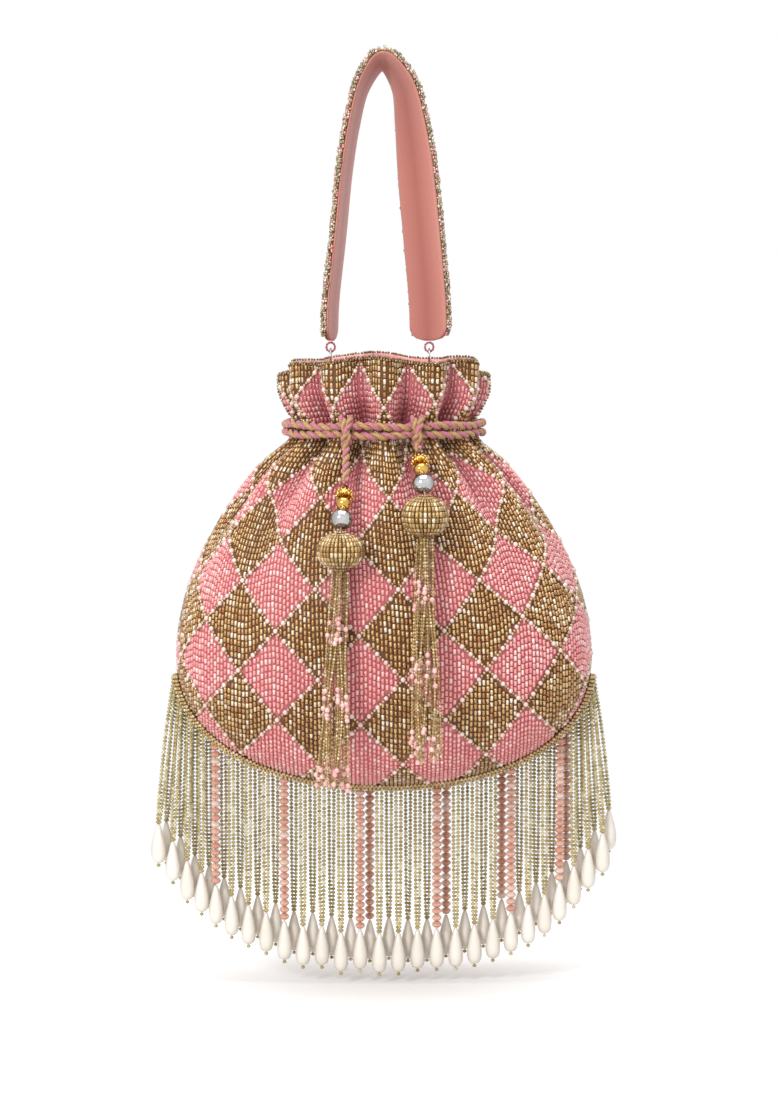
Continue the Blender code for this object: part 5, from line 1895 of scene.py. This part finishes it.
@dataclass(frozen=True)
class Studio:
    """A pale floor, a white surround, soft light and the camera of the photo.

    Attributes:
        floor_z: Height of the floor.
        fade: How far from the middle the floor starts and ends to fade out.
        aim: What the camera looks at, in metres.
        distance: How far away the camera is.
        elevation: How high it stands, in degrees.
        lens: Its focal length in millimetres.
        surround: Strength of the light from the surround.
        reach: Half the floor's width in millimetres.
        lamps: Name, place in metres, size and power of each lamp.
    """

    floor_z: float = -0.4625
    fade: tuple[float, float] = (0.17, 0.45)
    aim: tuple[float, float, float] = (0.003, 0.0, -0.244)
    distance: float = 1.8
    elevation: float = 5.0
    lens: float = 117.0
    surround: float = 0.72
    reach: float = 600.0
    lamps: tuple[tuple[str, tuple[float, float, float], float, float], ...] = (
        ("key", (-0.9, -1.5, 0.5), 0.4, 17.0), ("top", (0.0, -0.1, 1.2), 1.4, 22.0))

    def build(self) -> None:
        """Adds the floor, the surround, the lights and the camera."""
        self.add_floor()
        self.add_surround()
        self.add_lamps()
        self.add_camera()

    def add_floor(self) -> None:
        """Adds the floor, which fades out away from its middle."""
        soup = Soup()
        corners = np.array([[-1, -1, 0], [1, -1, 0], [1, 1, 0], [-1, 1, 0]]) * self.reach
        soup.add(corners + [0, 0, self.floor_z / MM], np.arange(4), np.array([4]))
        floor = soup.build("floor")
        pale = bpy.data.materials.new("floor")
        pale.use_nodes = True
        shader = pale.node_tree.nodes["Principled BSDF"]
        shader.inputs["Base Color"].default_value = (0.95, 0.95, 0.95, 1)
        shader.inputs["Roughness"].default_value = 0.9
        shader.inputs["Specular IOR Level"].default_value = 0.0
        tree = Tree(pale.node_tree)
        place = tree.add("ShaderNodeTexCoord").outputs["Object"]
        flat = tree.add("ShaderNodeVectorMath", {0: place, 1: (1, 1, 0)}, operation="MULTIPLY").outputs[0]
        away = tree.add("ShaderNodeVectorMath", {0: flat}, operation="LENGTH").outputs["Value"]
        fade = tree.add("ShaderNodeMapRange", {0: away, 1: self.fade[0], 2: self.fade[1], 3: 1.0, 4: 0.0},
                        interpolation_type="SMOOTHSTEP").outputs[0]
        pale.node_tree.links.new(fade, shader.inputs["Alpha"])
        floor.data.materials.append(pale)

    def add_surround(self) -> None:
        """Adds the white surround, dimmer as a light than as it is seen."""
        world = bpy.data.worlds.new("surround")
        bpy.context.scene.world = world
        world.use_nodes = True
        tree = Tree(world.node_tree)
        rays = tree.add("ShaderNodeLightPath").outputs
        seen = tree.math("MAXIMUM", rays["Is Camera Ray"],
                         tree.math("MAXIMUM", rays["Is Glossy Ray"], rays["Is Transmission Ray"]))
        strength = tree.span(seen, self.surround, 1.0)
        background = world.node_tree.nodes["Background"]
        background.inputs["Color"].default_value = (1, 1, 1, 1)
        world.node_tree.links.new(strength, background.inputs["Strength"])

    def add_lamps(self) -> None:
        """Adds the lamps, each turned to what the camera looks at."""
        for name, place, size, power in self.lamps:
            lamp = bpy.data.lights.new(name, "AREA")
            lamp.size, lamp.energy = size, power
            holder = bpy.data.objects.new(name, lamp)
            holder.location = place
            away = np.array(place) - np.array(self.aim)
            holder.rotation_euler = (math.acos(away[2] / np.linalg.norm(away)), 0,
                                     math.atan2(away[1], away[0]) + math.pi / 2)
            bpy.context.scene.collection.objects.link(holder)

    def add_camera(self) -> None:
        """Adds the camera, and shows colours as they are."""
        camera = bpy.data.cameras.new("camera")
        camera.lens = self.lens
        eye = bpy.data.objects.new("camera", camera)
        rise = math.radians(self.elevation)
        eye.location = (self.aim[0], self.aim[1] - self.distance * math.cos(rise),
                        self.aim[2] + self.distance * math.sin(rise))
        eye.rotation_euler = (math.pi / 2 - rise, 0, 0)
        bpy.context.scene.collection.objects.link(eye)
        bpy.context.scene.camera = eye
        bpy.context.scene.view_settings.view_transform = "Standard"


@dataclass
class Dresser:
    """Gives the pieces their finish and their body, and hides the CAD nodes that they stand for.

    Attributes:
        made: The materials made so far, by finish.
    """

    made: dict[str, bpy.types.Material] = field(default_factory=dict)

    def finish(self, name: str) -> bpy.types.Material:
        """The finish's material, made once.

        Args:
            name: The finish.

        Returns:
            Its material.
        """
        if name not in self.made:
            self.made[name] = FINISHES[name].build()
        return self.made[name]

    def dress(self, piece: Piece, finish: str, body: str,
              nodes: Sequence[str] = ()) -> None:
        """Dresses one piece.

        Args:
            piece: The piece.
            finish: Its finish.
            body: The body that it rides.
            nodes: The CAD nodes that it stands for.
        """
        piece.data.materials.clear()
        piece.data.materials.append(self.finish(finish))
        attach(piece, body)
        if nodes:
            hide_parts(*nodes)
        LOG.info("%s: %d faces on %s", piece.name, len(piece.data.polygons), body)


def dress_panels(dresser: Dresser, rng: Rng) -> None:
    """Builds the two panels, the lining and the edging.

    Args:
        dresser: What dresses the pieces.
        rng: The random draws.
    """
    panels = Panels()
    for side in Side:
        cloth = panels.cloth_piece(side)
        dresser.dress(cloth, "panel_cloth", "bag", [f"{side.name.lower()}_panel"])
        for piece, finish in zip(panels.bead_pieces(side, rng), ("pink_glass", "gold_glass")):
            dresser.dress(piece, finish, "bag")
        for piece, finish in zip(panels.outline_pieces(side, rng), ("blush_pearl", "clear_seed")):
            dresser.dress(piece, finish, "bag")
        dresser.dress(panels.edging_piece(side, rng), "dark_seed", "bag")
    lining = panels.lining_piece()
    dresser.dress(lining, "satin", "bag", ["lining"])


def dress_handle(dresser: Dresser, rng: Rng) -> None:
    """Builds the strap, its rings, its loops and the tabs.

    Args:
        dresser: What dresses the pieces.
        rng: The random draws.
    """
    strap = Strap()
    facing = strap.sheet(0.0, strap.cloth, "strap_facing")
    dresser.dress(facing, "strap_cloth", "handle", ["handle_lining"])
    backing = strap.sheet(-strap.gap - strap.base, -strap.gap, "strap_backing")
    dresser.dress(backing, "tape_cloth", "handle", ["handle_beadwork"])
    names = ("pink_glass", "gold_glass", "silver_glass", "edge_seed")
    for piece, finish in zip(strap.bead_pieces(rng), names):
        dresser.dress(piece, finish, "handle")
    joint = RingJoint()
    for name, x in (("left", strap.left_x), ("right", strap.right_x)):
        ring, loop = joint.pieces(name, x)
        dresser.dress(ring, "polished_silver", "bag", [f"{name}_ring"])
        dresser.dress(loop, "pink_cord", "handle", [f"{name}_handle_loop"])
        dresser.dress(joint.tab_piece(name, x), "satin", "bag", [f"{name}_ring_tab"])


def dress_tassels(dresser: Dresser, rng: Rng) -> None:
    """Builds the drawstrings and the two tassels.

    Args:
        dresser: What dresses the pieces.
        rng: The random draws.
    """
    tassels = (Tassel("left", -18.5, -21.0, -25.0, 54.5, 18.6, 108.0),
               Tassel("right", 16.5, 20.0, 20.5, 38.0, 20.4, 110.0))
    ropes = Drawstrings().pieces([t.x for t in tassels])
    for piece, node in zip(ropes, ("drawstring_upper", "drawstring_lower", None)):
        dresser.dress(piece, "two_tone_cord", "bag", [node] if node else [])
    for tassel in tassels:
        name = tassel.name
        tail, body = f"{name}_tail", f"{name}_tassel"
        dresser.dress(tassel.tail_piece(), "two_tone_cord", tail, [tail])
        plan = (("polished_gold", "gold_metal", "bead_cap"), ("polished_gold", "gold_metal", "gold_bead"),
                ("polished_silver", "silver_metal", "silver_bead"), ("tassel_seed", "gold_beads", "melon"),
                ("tassel_seed", "gold_beads", None), ("pink_cord", "pink_cord", "thread"))
        for piece, (finish, slot, node) in zip(tassel.string_pieces(rng), plan):
            dresser.dress(piece, finish, body, [f"{name}_{node}"] if node else [])
        strands, pearls, threads = tassel.skirt_pieces(rng)
        dresser.dress(strands, "tassel_seed", body, [f"{name}_skirt"])
        dresser.dress(pearls, "pink_pearl", body)
        dresser.dress(threads, "thread", body)


def dress_fringe(dresser: Dresser, rng: Rng) -> None:
    """Builds the fringe.

    Args:
        dresser: What dresses the pieces.
        rng: The random draws.
    """
    fringe = Fringe()
    dresser.dress(fringe.tape_piece(), "tape_cloth", "bag")
    dresser.dress(fringe.seam_beads_piece(rng), "seam_seed", "bag")
    strands, pearls, facets, threads, stops = fringe.pieces(rng)
    dresser.dress(strands, "champagne_seed", "bag", [f"fringe_{i}" for i in range(1, 7)])
    dresser.dress(pearls, "cream_pearl", "bag")
    dresser.dress(facets, "peach_crystal", "bag",
                  [f"crystal_strand_{i}" for i in range(1, 11)])
    dresser.dress(threads, "thread", "bag")
    dresser.dress(stops, "champagne_seed", "bag")


def main() -> None:
    """Builds every class in order."""
    logging.basicConfig(level=logging.INFO, format="%(name)s %(message)s")
    rng = np.random.default_rng(SEED)
    dresser = Dresser()
    dress_panels(dresser, rng)
    dress_handle(dresser, rng)
    dress_tassels(dresser, rng)
    dress_fringe(dresser, rng)
    Studio().build()


if __name__ == "__main__":
    main()
